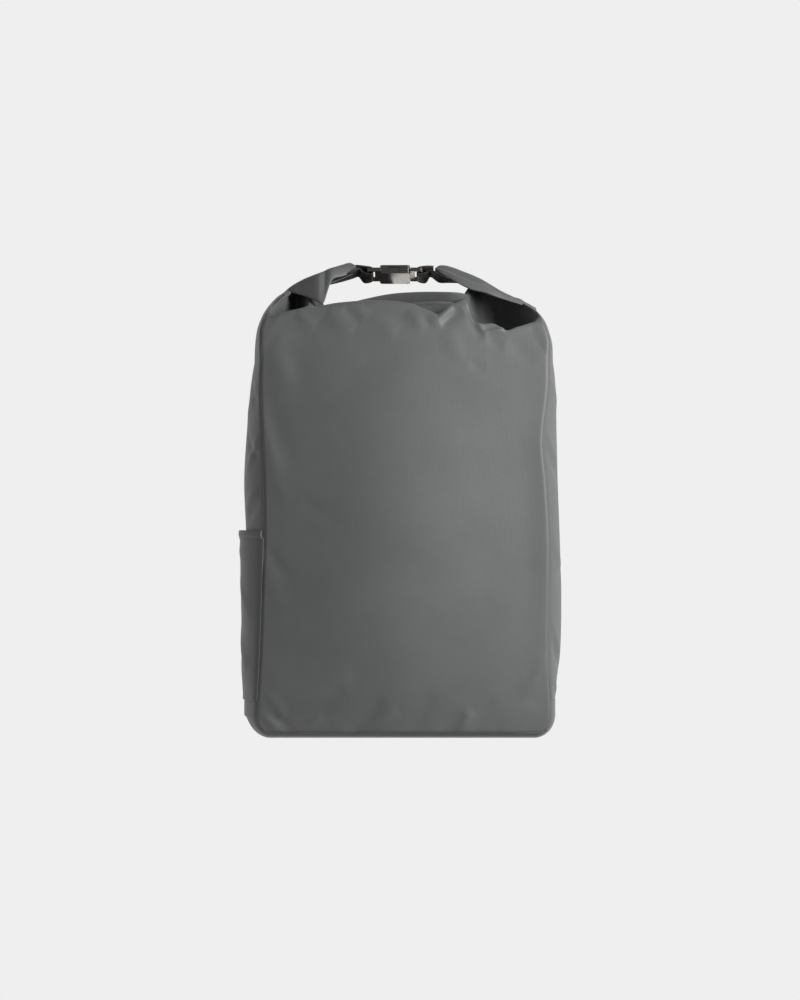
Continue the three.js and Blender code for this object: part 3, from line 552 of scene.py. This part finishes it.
def moulded_plastic(name, colour, pit=0.7143):
    """Acetal, moulded with a fine matt grain, noise of 0.7 mm."""
    m = new_material(name)
    place = add(m, "ShaderNodeTexCoord")
    grain = add(m, "ShaderNodeTexNoise", {"Vector": place.outputs["Object"]}, Scale=1000 / pit, Detail=2.0)
    bump = add(m, "ShaderNodeBump", {"Height": grain.outputs["Fac"]}, Strength=0.2, Distance=0.0001)
    shader = add(m, "ShaderNodeBsdfPrincipled", {"Normal": bump.outputs["Normal"]},
                 Roughness=0.45, IOR=1.48, Base_Color=linear(colour))
    return finish_material(m, shader)


webbing = ribbed_webbing("polypropylene_webbing", "#221f1c", "#34302c")
nickel = plated_metal("dark_nickel_plate", "#827e79")
acetal = moulded_plastic("moulded_acetal", "#1c1c1e")


def place_piece(piece, material, slot, *nodes, padded=None):
    """Gives a finished piece its material and its body, and hides the imported nodes that it stands for."""
    piece.data.materials.clear()
    piece.data.materials.append(material)
    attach(piece, "root")
    if nodes:
        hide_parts(*nodes)
    return piece


# %% [markdown]
# ## The front and back panels
# Both are sewn to the sides with a seam turned inwards, so each panel dips into a groove along it.

# %% Front and back cloth
def grid(us, vs):
    """Two grids, of the first number and of the second, for every pair of the two lists."""
    return np.meshgrid(us, vs, indexing="ij")


def tuck(distance, depth=2.4, width=2.8):
    """How far cloth dips in next to a seam: a bell curve of the distance to it."""
    return depth * np.exp(-(distance / width) ** 2)


def crowded(count, low, high, share=0.03, extra=6):
    """Even steps, with extra ones near both ends, where the cloth turns into its seams."""
    near = low + (high - low) * share * np.linspace(0, 1, extra, endpoint=False)
    middle = np.linspace(low + (high - low) * share, high - (high - low) * share, count)
    return np.concatenate([near, middle, (high + low - near)[::-1]])


def broad_cloth(end):
    """The front or back panel, dipped in by a bell curve next to its seams, with the folds added."""
    across, rise = grid(crowded(190, -1, 1), np.concatenate([
        np.linspace(0, 0.05, 12, endpoint=False), np.linspace(0.05, 1, 110, endpoint=False),
        np.linspace(1, 2, 90)]))
    points = broad_panel(end, across, rise)
    seam = (1 - np.abs(across)) * HALF_WIDTH
    deep = np.where(across < 0, 2.2, mix(3.0, 1.3, ease((points[..., 2] - 120) / 60)))
    by = -tuck(seam, deep, 1.5) - tuck(rise * FOLD_HEIGHT, 3.0, 2.4)
    if end < 0:
        by += fold_height(points[..., 0], points[..., 2], FRONT_FOLDS) * ease((1.8 - rise) / 0.3)
    return cloth("front_cloth" if end < 0 else "back_cloth", pushed(points, (0, end, 0), by), (0, end, 0))


front = place_piece(broad_cloth(-1), nylon, "coated_cloth", "front_panel")
back = place_piece(broad_cloth(1), nylon, "coated_cloth", "back_panel")
print("front faces", len(front.data.polygons))

# %% [markdown]
# ## The side panels
# They stand out between their seams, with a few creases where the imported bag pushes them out.

# %% Side cloths
LEFT_FOLDS = [
    (0.02, 350, 0.45, 318, 8, 1.0, 3), (0.02, 300, 0.3, 262, 6, 1.5, 2), (0.02, 276, 0.3, 300, 5, -1.4, 2),
    (0.05, 244, 0.35, 222, 6, 1.3, -2), (0.02, 232, 0.3, 212, 5, -1.3, -2), (0.3, 385, 0.7, 330, 9, -1.0, 3),
    (0.03, 330, 0.25, 352, 5, -1.2, 2),
]
RIGHT_FOLDS = [
    (0.0, 352, 0.5, 330, 7, 0.9, 2), (0.0, 306, 0.35, 270, 6, 1.4, 2), (0.03, 284, 0.4, 250, 7, -1.4, 2),
    (0.0, 120, 0.3, 80, 5, 1.4, 2), (0.0, 96, 0.4, 62, 6, -1.6, 2), (0.03, 200, 0.4, 160, 8, 1.2, 2),
    (0.1, 150, 0.5, 180, 8, -0.9, 2), (0.02, 62, 0.3, 46, 5, 1.3, 2),
]


def rise_of(side, height):
    """The rise at which a side panel's front edge is at a height."""
    return (height - SEAM_RISE) / (foot_height(-1, np.array(float(side))) - SEAM_RISE)


SIDE_RISE = 370.0


def side_cloth(side):
    """A side panel, dipped in by a bell curve next to its seams, with its folds added."""
    low = rise_of(side, BASE_HEIGHT - 1.5)
    across, rise = grid(crowded(46, 0, 1), np.concatenate([
        np.linspace(low, low + 0.02, 6, endpoint=False), np.linspace(low + 0.02, 1, 120, endpoint=False),
        np.linspace(1, 2, 60)]))
    points = side_panel(side, across, rise)
    seam = np.minimum(across, 1 - across) * np.abs(points[..., 1]).max(0) * 2
    folds = LEFT_FOLDS if side < 0 else RIGHT_FOLDS
    scaled = [(u1 * DEPTH, v1, u2 * DEPTH, v2, *shape) for u1, v1, u2, v2, *shape in folds]
    by = fold_height(across * DEPTH, points[..., 2], scaled) * ease(seam / 14)
    by -= tuck(seam, 1.3, 1.8) + tuck((rise - low) * SIDE_RISE, 1.6, 2.4)
    name = ("left" if side < 0 else "right") + "_side_cloth"
    return cloth(name, pushed(points, (side, 0, 0), by), (side, 0, 0))


left_side = place_piece(side_cloth(-1), nylon, "coated_cloth", "left_side_panel")
right_side = place_piece(side_cloth(1), nylon, "coated_cloth", "right_side_panel")

# %% [markdown]
# ## The base
# One band goes under the bag and up round both lower corners, to a seam across each side.

# %% Base cloth
BASE_STRAIGHT, BASE_BEND = 0.6, 0.85


def base_panel(along, across):
    """The band: along is -1 at its left end and 1 at its right end. It is flat as far as BASE_STRAIGHT,
    a quarter circle as far as BASE_BEND, and upright from there to its seam."""
    side = np.where(along < 0, -1.0, 1.0)
    place = np.abs(along)
    low = SEAM_RISE + CORNER_RADIUS
    turn = np.pi / 2 * np.clip((place - BASE_STRAIGHT) / (BASE_BEND - BASE_STRAIGHT), 0, 1)
    upright = mix(low, BASE_HEIGHT, (place - BASE_BEND) / (1 - BASE_BEND))
    rise = np.where(place > BASE_BEND, upright, low - CORNER_RADIUS * np.cos(turn))
    height = np.maximum(rise, SEAM_RISE)
    seam = np.where(along < 0, seam_x(-1, -1, height), seam_x(1, -1, height))
    seam_back = np.where(along < 0, seam_x(-1, 1, height), seam_x(1, 1, height))
    ends = []
    for end, x in ((-1, seam), (1, seam_back)):
        centre = x - side * CORNER_RADIUS
        corner = centre + side * CORNER_RADIUS * np.sin(turn)
        x = np.where(place > BASE_STRAIGHT, corner, centre * place / BASE_STRAIGHT)
        ends.append(np.stack([x, end * HALF_DEPTH + 0 * x, rise], -1))
    belly = SIDE_BELLY * np.where(along < 0, section(rise, "left_belly"), section(rise, "right_belly"))
    flat = 1 - turn / (np.pi / 2)
    full = fullness(2 * across - 1, mix(SIDE_POWER, 4, flat))
    out = full * mix(belly, SEAM_RISE + 1, np.sqrt(flat))
    point = mix(ends[0], ends[1], across[..., None])
    point[..., 0] += out * side * np.sin(turn)
    point[..., 2] = np.maximum(point[..., 2] - out * np.cos(turn), 0)
    return point


def base_cloth():
    """The band, drawn in by a bell curve next to its two long seams."""
    half = np.concatenate([
        np.linspace(0, BASE_STRAIGHT, 40, endpoint=False),
        np.linspace(BASE_STRAIGHT, BASE_BEND, 30, endpoint=False), np.linspace(BASE_BEND, 1, 14)])
    along, across = grid(np.concatenate([-half[:0:-1], half]), crowded(50, 0, 1))
    points = base_panel(along, across)
    seam = np.minimum(across, 1 - across) * DEPTH
    points[..., 2] += tuck(seam, 1.6) * (np.abs(along) < 0.72)
    points[..., 0] -= np.sign(along) * tuck(seam, 1.6) * (np.abs(along) >= 0.72)
    return cloth("base_cloth", points, (0, 0, -1))


base = place_piece(base_cloth(), nylon, "coated_cloth", "base_panel")

# %% [markdown]
# ## The side pocket
# A flat piece of the same cloth, sewn down both side seams and along the foot, with a folded hem
# along its open mouth.

# %% Pocket and hem
POCKET_TOP, HEM_HEIGHT, POCKET_FULLNESS = 205.0, 8.0, 5.5
POCKET_WALL, HEM_WALL = 1.1, 2.2
POCKET_REACH = 0.004, 0.996  # from seam to seam, as shares of the side panel


def pocket_point(across, height, extra=0.0):
    """The side panel's surface, moved out by as much as the pocket stands off it there."""
    foot = ease((height - BASE_HEIGHT) / 40)
    point = side_panel(-1, across, rise_of(-1, height))
    point[..., 0] -= mix(0.6, POCKET_FULLNESS, fullness(2 * across - 1, 3) * foot) + 0.9 + extra
    return point


def pocket_cloth():
    """The pocket's surface with four folds, drawn in by a bell curve next to its side seams."""
    heights = np.linspace(BASE_HEIGHT - 1, POCKET_TOP - HEM_HEIGHT + 1, 110)
    across, height = grid(crowded(44, *POCKET_REACH), heights)
    points = pocket_point(across, height)
    seam = np.minimum(across, 1 - across) * DEPTH
    points[..., 0] += tuck(seam, 1.6, 3)
    scaled = [(20, 70, 70, 110, 8, 1.6, 3), (60, 150, 120, 120, 9, -1.4, 3), (15, 120, 60, 160, 7, 1.1, 2),
              (30, 186, 110, 184, 6, 0.8, 1)]
    points[..., 0] -= fold_height(across * DEPTH, height, scaled) * ease(seam / 12)
    return cloth("pocket_cloth", points, (-1, 0, 0), POCKET_WALL)


def hem_cloth():
    """The hem stands out by half a sine wave over its height, less a bell curve along its stitches."""
    heights = np.linspace(POCKET_TOP - HEM_HEIGHT - 0.5, POCKET_TOP, 16)
    across, height = grid(crowded(44, *POCKET_REACH), heights)
    share = (height - POCKET_TOP + HEM_HEIGHT) / HEM_HEIGHT
    points = pocket_point(across, height, 0.7)
    stitched = 0.5 * np.exp(-((share - 0.12) / 0.06) ** 2)
    points[..., 0] -= 0.5 * np.sin(np.pi * np.clip(share, 0, 1)) - stitched
    return cloth("pocket_hem_cloth", points, (-1, 0, 0), HEM_WALL)


pocket = place_piece(pocket_cloth(), nylon, "coated_cloth", "side_pocket")
hem = place_piece(hem_cloth(), nylon, "coated_cloth", "pocket_hem")

# %% [markdown]
# ## The six panels
# The six panels are single cloths, pulled tight by what is packed.

# %% [markdown]
# ## The roll
# The rolled mouth is a flat band of several layers. Its middle lies on the bag, and its ends come up
# and inwards. Each layer is a flattened tube along its own path, given by a short table.

# %% Layers of the roll
def band(name, table, count=110, around=28):
    """A flattened tube. At each x, its top and bottom edges are at two heights; front is how far its
    bottom edge is in front of the middle, thick its thickness, and lean how far it leans back, in
    degrees. Its section is a superellipse: the cosine and sine of an angle, each to a power."""
    x = np.linspace(table["x"][0], table["x"][-1], count)
    top, bottom, front, thick, lean = (
        read(table, "x", x, column)[:, None] for column in ("top", "bottom", "front", "thick", "lean"))
    lean = np.radians(lean)
    angle = np.linspace(0, 2 * np.pi, around, endpoint=False)
    up, out = rounded(np.sin(angle), 0.8), rounded(np.cos(angle), 0.5)
    tall = (top - bottom) / np.cos(lean) / 2 * (1 + up)
    y = -front + tall * np.sin(lean) - thick / 2 * out * np.cos(lean)
    z = bottom + tall * np.cos(lean) - thick / 2 * out * np.sin(lean) * 0.5
    return closed_loft(name, np.stack([x[:, None] + 0 * y, y, z], -1))


LYING = rows("x top bottom front thick lean", [
    (-118, 421, 410, -8, 22, 0), (-80, 422, 410, 0, 30, 0), (-33, 432, 419, 0, 36, 0),
    (5, 437, 424, 0, 36, 0), (50, 437, 424, 0, 36, 0), (58, 430, 418, -8, 24, 0),
    (64, 424, 415, -16, 12, 0),
])
MIDDLE = rows("x top bottom front thick lean", [
    (-66, 427.5, 423, 15, 2.5, -26), (-40, 434, 425, 14, 5, -36), (-12, 439.5, 428, 14, 6, -38),
    (16, 441.5, 428, 14, 6, -38), (45, 441.5, 428, 14, 6, -38), (58, 441, 429, 12, 5, -34),
    (68, 439, 431, 6, 3, -30),
])
RIGHT_BACK = rows("x top bottom front thick lean", [
    (33, 466.5, 462, 2, 4, 30), (37, 469.3, 460, 4, 6, 32), (43, 469.5, 458, 6, 7, 34),
    (53, 466.7, 455, 8, 7, 34), (61, 463.3, 452, 10, 7, 34), (69, 460.2, 450, 11, 7, 34),
    (81, 454.4, 446, 12, 7, 32), (90, 449, 441, 12, 6, 32), (100, 443, 437, 12, 6, 30),
    (115, 436, 431, 11, 5, 30), (127, 430.5, 426, 10, 4, 30), (134, 426, 424, 9, 3, 30),
])
RIGHT_FRONT = rows("x top bottom front thick lean", [
    (34, 465.5, 462, 6, 3, 24), (38, 466, 461.2, 9, 5, 24), (46, 463, 456.7, 13, 6, 24),
    (53, 460, 452.5, 16, 7, 22), (60, 457, 448.4, 18, 7, 20), (68.4, 453.5, 444.5, 19, 7, 18),
    (82.7, 448, 441, 19, 7, 18), (91, 444, 438, 19, 6, 18), (100, 440, 435, 18, 5, 18),
    (120, 432, 429, 16, 4, 18), (133, 427, 425, 13, 3, 18),
])
RIGHT_INNER = rows("x top bottom front thick lean", [
    (48, 464, 457, -1, 12, 0), (58, 460.5, 452, -5, 24, 0), (69, 456, 447, -8, 34, 0),
    (81, 451.5, 443, -9, 38, 0), (90, 446, 439, -9, 38, 0), (100, 441, 436, -9, 36, 0),
    (115, 434, 431, -8, 30, 0), (127, 429.5, 427, -6, 22, 0), (133, 426, 424.5, -5, 12, 0),
])
LEFT_FACE = rows("x top bottom front thick lean", [
    (-124, 437, 434, 2, 3, 34), (-112, 447.3, 441.5, 10, 6, 30), (-100, 454.3, 438.8, 18, 8, 26),
    (-90, 458.5, 434.8, 25, 9, 24), (-83, 461, 431, 30, 9, 24), (-79, 462.6, 429.3, 31, 9, 26),
    (-77, 463.5, 432, 30, 9, 28), (-74, 465, 442, 26, 9, 28), (-71, 466, 451, 22, 9, 28),
    (-68, 467, 455.4, 19, 8, 27), (-60, 469.6, 457.8, 14, 8, 26), (-52, 471.8, 461, 10, 7, 26),
    (-46, 469, 465, 8, 5, 26),
])
LEFT_UNDER = rows("x top bottom front thick lean", [
    (-92, 450, 436, 4, 9, 28), (-76, 460, 448, 6, 9, 26), (-64, 466, 454, 6, 10, 24),
    (-52, 468, 459, 5, 9, 22), (-45, 467, 463, 3, 6, 20),
])
LEFT_INNER = rows("x top bottom front thick lean", [
    (-121, 437, 434, -5, 14, 0), (-108, 447, 440, -5, 28, 0), (-95, 453, 444, -4, 34, 0),
    (-80, 459, 449, -3, 34, 0), (-66, 464, 456, -1, 28, 0), (-54, 468, 461, 0, 18, 0),
    (-47, 467, 464, 0, 8, 0),
])
for name, table in (("lying_roll", LYING), ("middle_roll_face", MIDDLE), ("right_roll_back", RIGHT_BACK),
                    ("right_roll_front", RIGHT_FRONT), ("right_roll_inner", RIGHT_INNER),
                    ("left_roll_face", LEFT_FACE), ("left_roll_under", LEFT_UNDER),
                    ("left_roll_inner", LEFT_INNER)):
    place_piece(band(name, table), nylon, "coated_cloth", "rolled_mouth")
print("roll layers made")

# %% [markdown]
# ## Webbing at the buckle
# Each end of the roll is sewn to a length of 20 mm webbing, which goes out to the buckle, round its bar
# and back. It is turned on edge on the way, so it shows its width there.

# %% Buckle webbing
WEBBING_WIDTH, WEBBING_WALL = 20.0, 1.6
BUCKLE_X, BUCKLE_HEIGHT, BUCKLE_TILT = -7.0, 460.5, 20.0
HOUSING_LENGTH, FRAME_LENGTH, BAR = 30.0, 13.0, 3.4


def ribbon(name, places, across, widths, wall, fine=6):
    """A flat ribbon through places, with the direction across it and its width, each either one or a
    list for the places. Between these it follows a smooth curve (Hermite)."""
    places, count = np.array(places, float), len(places)
    across, widths = np.broadcast_to(across, (count, 3)), np.broadcast_to(widths, count)
    at = np.linspace(0, count - 1, (count - 1) * fine + 1)
    smooth = lambda values: read({"i": np.arange(count, dtype=float), "v": values}, "i", at, "v")
    centre = np.stack([smooth(places[:, k]) for k in range(3)], -1)
    side = np.stack([smooth(across[:, k]) for k in range(3)], -1)
    side /= np.linalg.norm(side, axis=-1, keepdims=True)
    ahead = np.gradient(centre, axis=0)
    out = np.cross(ahead, side)
    out /= np.linalg.norm(out, axis=-1, keepdims=True)
    half = smooth(widths)[:, None] / 2
    share = np.array([-1, -0.96, -0.6, -0.2, 0.2, 0.6, 0.96, 1])
    thick = wall / 2 * np.array([0.4, 0.9, 1, 1, 1, 1, 0.9, 0.4])
    top = [centre + side * half * u + out * t for u, t in zip(share, thick)]
    under = [centre + side * half * u - out * t for u, t in zip(share[::-1], thick[::-1])]
    return closed_loft(name, np.stack(top + under, 1))


def turned(degrees):
    """The direction across the webbing, its front edge turned up from level by an angle."""
    a = np.radians(degrees)
    return (0, np.cos(a), -np.sin(a))


def buckle_webbing(side):
    """Under the roll's end, out to the bar, round it, and back to its own seam."""
    bar = BUCKLE_X + side * (HOUSING_LENGTH / 2 + FRAME_LENGTH - BAR / 2)
    inside, outside = bar - side * (BAR / 2 + 1.3), bar + side * (BAR / 2 + 2.6)
    if side < 0:
        under = [(-72, -3, 452.5, 8), (-60, -4, 456, 12), (-50, -4, 460, 20), (-43.5, -3, 462.5, 32)]
    else:
        under = [(58, -4, 453.5, 4), (46, -6, 454.5, 10), (37, -6, 456.5, 22), (28.5, -4, 461.5, 24)]
    tilt = np.radians(BUCKLE_TILT)
    lift = lambda x, up: (x, up * np.sin(tilt), BUCKLE_HEIGHT + up * np.cos(tilt))
    back = [lift(outside, -3.4), lift(inside, -3.4), lift(inside - side * 0.9, 0), lift(inside, 3.4),
            lift(outside, 3.6)]
    last = (under[3][0] + side * 3, 0, under[3][2] + 3)
    places = [row[:3] for row in under] + back + [last]
    angles = [row[3] for row in under] + [30, BUCKLE_TILT, BUCKLE_TILT, BUCKLE_TILT, 30, 40]
    widths = [20, 20, 19, 15, 19, 20, 20, 20, 19, 13]
    name = ("left" if side < 0 else "right") + "_buckle_strap"
    return ribbon(name, places, [turned(a) for a in angles], widths, WEBBING_WALL)


place_piece(buckle_webbing(-1), webbing, "webbing", "left_buckle_webbing")
place_piece(buckle_webbing(1), webbing, "webbing", "right_buckle_webbing")

# %% [markdown]
# ## The buckle
# The frame's own two halves have the right shape. A copy of each gets rounded edges, which catch the
# light as the cast and plated edges of the real one do.

# %% Buckle halves with rounded edges
for node in ("buckle_socket", "buckle_plug"):
    half = bpy.data.objects.new(node + "_cast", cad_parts[node].data.copy())
    bpy.context.scene.collection.objects.link(half)
    rounding = half.modifiers.new("cast edges", "BEVEL")
    rounding.width, rounding.segments, rounding.limit_method = 0.0007, 3, "ANGLE"
    rounding.angle_limit = np.radians(35)
    half.data.polygons.foreach_set("use_smooth", np.ones(len(half.data.polygons), bool))
    smooth = half.modifiers.new("shading", "WEIGHTED_NORMAL")
    smooth.keep_sharp = True
    place_piece(half, nickel, "buckle_metal", node)
print("buckle halves finished")

# %% [markdown]
# ## The shoulder straps
# Foam in nylon, 62 mm wide, bowed off the back as the foam holds them. A narrow binding tape goes round
# the edge. The straps, their locks and the haul loop are on the back, which the photograph doesn't show.

# %% Straps on the back
STRAP_WIDTH, STRAP_WALL, STRAP_TOP, STRAP_END, STRAP_BOW = 62.0, 9.0, 370.0, 132.0, 34.0
STRAP_INNER, STRAP_OUTER = 52.0, 92.0
LOCK_LENGTH, LOCK_WALL, LOCK_BAR = 26.0, 4.0, 4.0
GAP, OFF_THE_BACK = 0.4, 0.8
ANCHOR_X, ANCHOR_HEIGHT, STRAP_TAIL = 112.0, 46.0, 62.0
LOOP_HALF, LOOP_SEAT, LOOP_FOOT, LOOP_RISE, LOOP_WALL = 38.0, 388.0, 6.8, 20.0, 2.4


def back_face(x, z):
    """How far behind the bag's middle its back panel lies at a place."""
    across = np.asarray(x, float) / HALF_WIDTH
    return face(1, across, np.asarray(z, float) + 0 * across)[..., 1]


def strap_middle(side, t):
    """A strap's middle line from its upper seam, t = 0, to its lower end, t = 1."""
    z = mix(STRAP_TOP, STRAP_END, t)
    x = side * mix(STRAP_INNER, STRAP_OUTER, ease(t))
    bow = STRAP_BOW * np.sin(np.pi * np.clip(t * 0.96, 0, 1)) ** 0.8
    return np.stack([x, back_face(x, z) + OFF_THE_BACK + STRAP_WALL / 2 + bow, z], -1)


STRAP_SHARES = np.linspace(0, 1, 120)
HALF_WIDTHS = STRAP_WIDTH / 2 * mix(1, 0.62, ease((STRAP_SHARES - 0.75) / 0.25))[:, None]
ANGLES = np.linspace(0, 2 * np.pi, 48, endpoint=False)[None]


def across_strap(side, x, y):
    """Loops round a strap's middle line, from how far each point is to the side and out."""
    return strap_middle(side, STRAP_SHARES)[:, None] + np.stack([x, y + 0 * x, 0 * x], -1)


def shoulder_strap(side):
    """A padded strap: a superellipse, crowned in the middle and drawn in along its two stitch lines."""
    stitched = 1 - 0.12 * np.exp(-((np.abs(np.cos(ANGLES)) - 0.8) / 0.05) ** 2)
    x = HALF_WIDTHS * 0.96 * rounded(np.cos(ANGLES), 0.5)
    return across_strap(side, x, STRAP_WALL / 2 * rounded(np.sin(ANGLES), 0.7) * stitched)


def edge_tape(side, edge):
    """The tape round a strap's inner or outer edge: edge is -1 or 1."""
    x = edge * (HALF_WIDTHS - 2.2) + 2.6 * rounded(np.cos(ANGLES), 0.6)
    return across_strap(side, x, 3.0 * rounded(np.sin(ANGLES), 0.6))


def lower_webbing(side):
    """From its seam at the foot of the back panel, up behind the lock's bar, round it and down."""
    lock = strap_middle(side, np.array([1.0]))[0] - (0, 0, LOCK_LENGTH / 2 + GAP)
    hug = LOCK_WALL / 2 + GAP + WEBBING_WALL / 2
    bar = -LOCK_LENGTH / 2 + LOCK_BAR / 2
    inside = bar + LOCK_BAR / 2 + GAP + WEBBING_WALL / 2
    out = back_face(ANCHOR_X, ANCHOR_HEIGHT) + OFF_THE_BACK + WEBBING_WALL / 2
    foot = np.array([side * ANCHOR_X, out, ANCHOR_HEIGHT])
    near = lambda y, z: lock + (0, y, z)
    behind = near(-hug, bar - LOCK_BAR)
    run = [mix(foot, behind, t) for t in (0, 0.25, 0.5, 0.75)]
    round_bar = [behind, near(-hug, inside - 1), near(0, inside + 0.6), near(hug, inside - 1),
                 near(hug, bar - LOCK_BAR)]
    tail = [near(hug + 3 * t, bar - STRAP_TAIL * t) for t in (0.5, 1)]
    name = ("left" if side < 0 else "right") + "_lower_strap"
    return ribbon(name, run + round_bar + tail, (1, 0, 0), WEBBING_WIDTH, WEBBING_WALL)


for side, name in ((-1, "left"), (1, "right")):
    strap = closed_loft(name + "_padded_strap", shoulder_strap(side))
    place_piece(strap, strap_nylon, "padded_cloth", name + "_shoulder_strap", padded=0.8)
    for edge, word in ((-1, "inner"), (1, "outer")):
        place_piece(closed_loft(f"{name}_strap_{word}_tape", edge_tape(side, edge)), webbing, "webbing")
    place_piece(lower_webbing(side), webbing, "webbing", name + "_strap_webbing")


def haul_loop():
    """A loop of webbing whose two ends are sewn to the back panel near its top."""
    t = np.linspace(-1, 1, 25)
    x = LOOP_HALF * t
    lift = np.sqrt(np.maximum(0, 1 - t ** 4))
    out = back_face(x, LOOP_SEAT) + LOOP_FOOT + LOOP_RISE * lift
    places = np.stack([x, out, LOOP_SEAT + 6 * lift], -1)
    return ribbon("haul_loop_strap", places, (0, 0.5, 1), WEBBING_WIDTH, LOOP_WALL, fine=2)


place_piece(haul_loop(), webbing, "webbing", "haul_loop")
for node in ("left_strap_lock", "right_strap_lock"):
    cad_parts[node].data.materials.clear()
    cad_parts[node].data.materials.append(acetal)
print("carrying straps made")

# %% [markdown]
# ## Light and background
# The photograph has an even pale background and one broad soft light from the right.

# %% Light, floor and background
PAPER = "#efefef"


def soft_light(name, place, target, size, power):
    """A white rectangle of light, from a place towards a target, in metres and watts."""
    data = bpy.data.lights.new(name, "AREA")
    data.shape, data.size, data.size_y = "RECTANGLE", size[0], size[1]
    data.energy = power
    lamp = bpy.data.objects.new(name, data)
    lamp.location = place
    lamp.rotation_euler = (Vector(target) - Vector(place)).to_track_quat("-Z", "Y").to_euler()
    bpy.context.scene.collection.objects.link(lamp)
    return lamp


soft_light("key", (1.03, -0.86, 0.66), (0, -0.05, 0.25), (0.6, 0.8), 27)
soft_light("left fill", (-2.0, -1.0, 0.6), (0, 0, 0.25), (1.0, 1.4), 6)
card = soft_light("card under the buckle", (0.004, 0.011, 0.442), (-0.004, -0.004, 0.456), (0.03, 0.014),
                  0.002)
card.visible_camera = False
world = bpy.data.worlds.new("studio")
bpy.context.scene.world = world
world.use_nodes = True
background = world.node_tree.nodes["Background"]
background.inputs["Color"].default_value = linear(PAPER)
background.inputs["Strength"].default_value = 0.2

pale = new_material("pale_paper")
finish_material(pale, add(pale, "ShaderNodeEmission", Strength=1.0, Color=linear(PAPER)))
turn = np.linspace(0, np.pi / 2, 24)
bend = np.stack([2000 + 900 * np.sin(turn), 900 - 900 * np.cos(turn)], -1)
profile = np.concatenate([[(-4200.0, 0.0)], bend, [(2900.0, 4500.0)]])
sweep_x, sweep_i = grid(np.array([-4000.0, 4000.0]), np.arange(len(profile)))
sweep = np.stack([sweep_x, profile[sweep_i][..., 0], profile[sweep_i][..., 1]], -1)
floor = cloth("paper_sweep", sweep, (0, -1, 1), wall=0)
floor.data.materials.append(pale)
for ray in ("visible_diffuse", "visible_shadow", "visible_transmission"):
    setattr(floor, ray, False)

bpy.context.scene.view_settings.view_transform = "Standard"
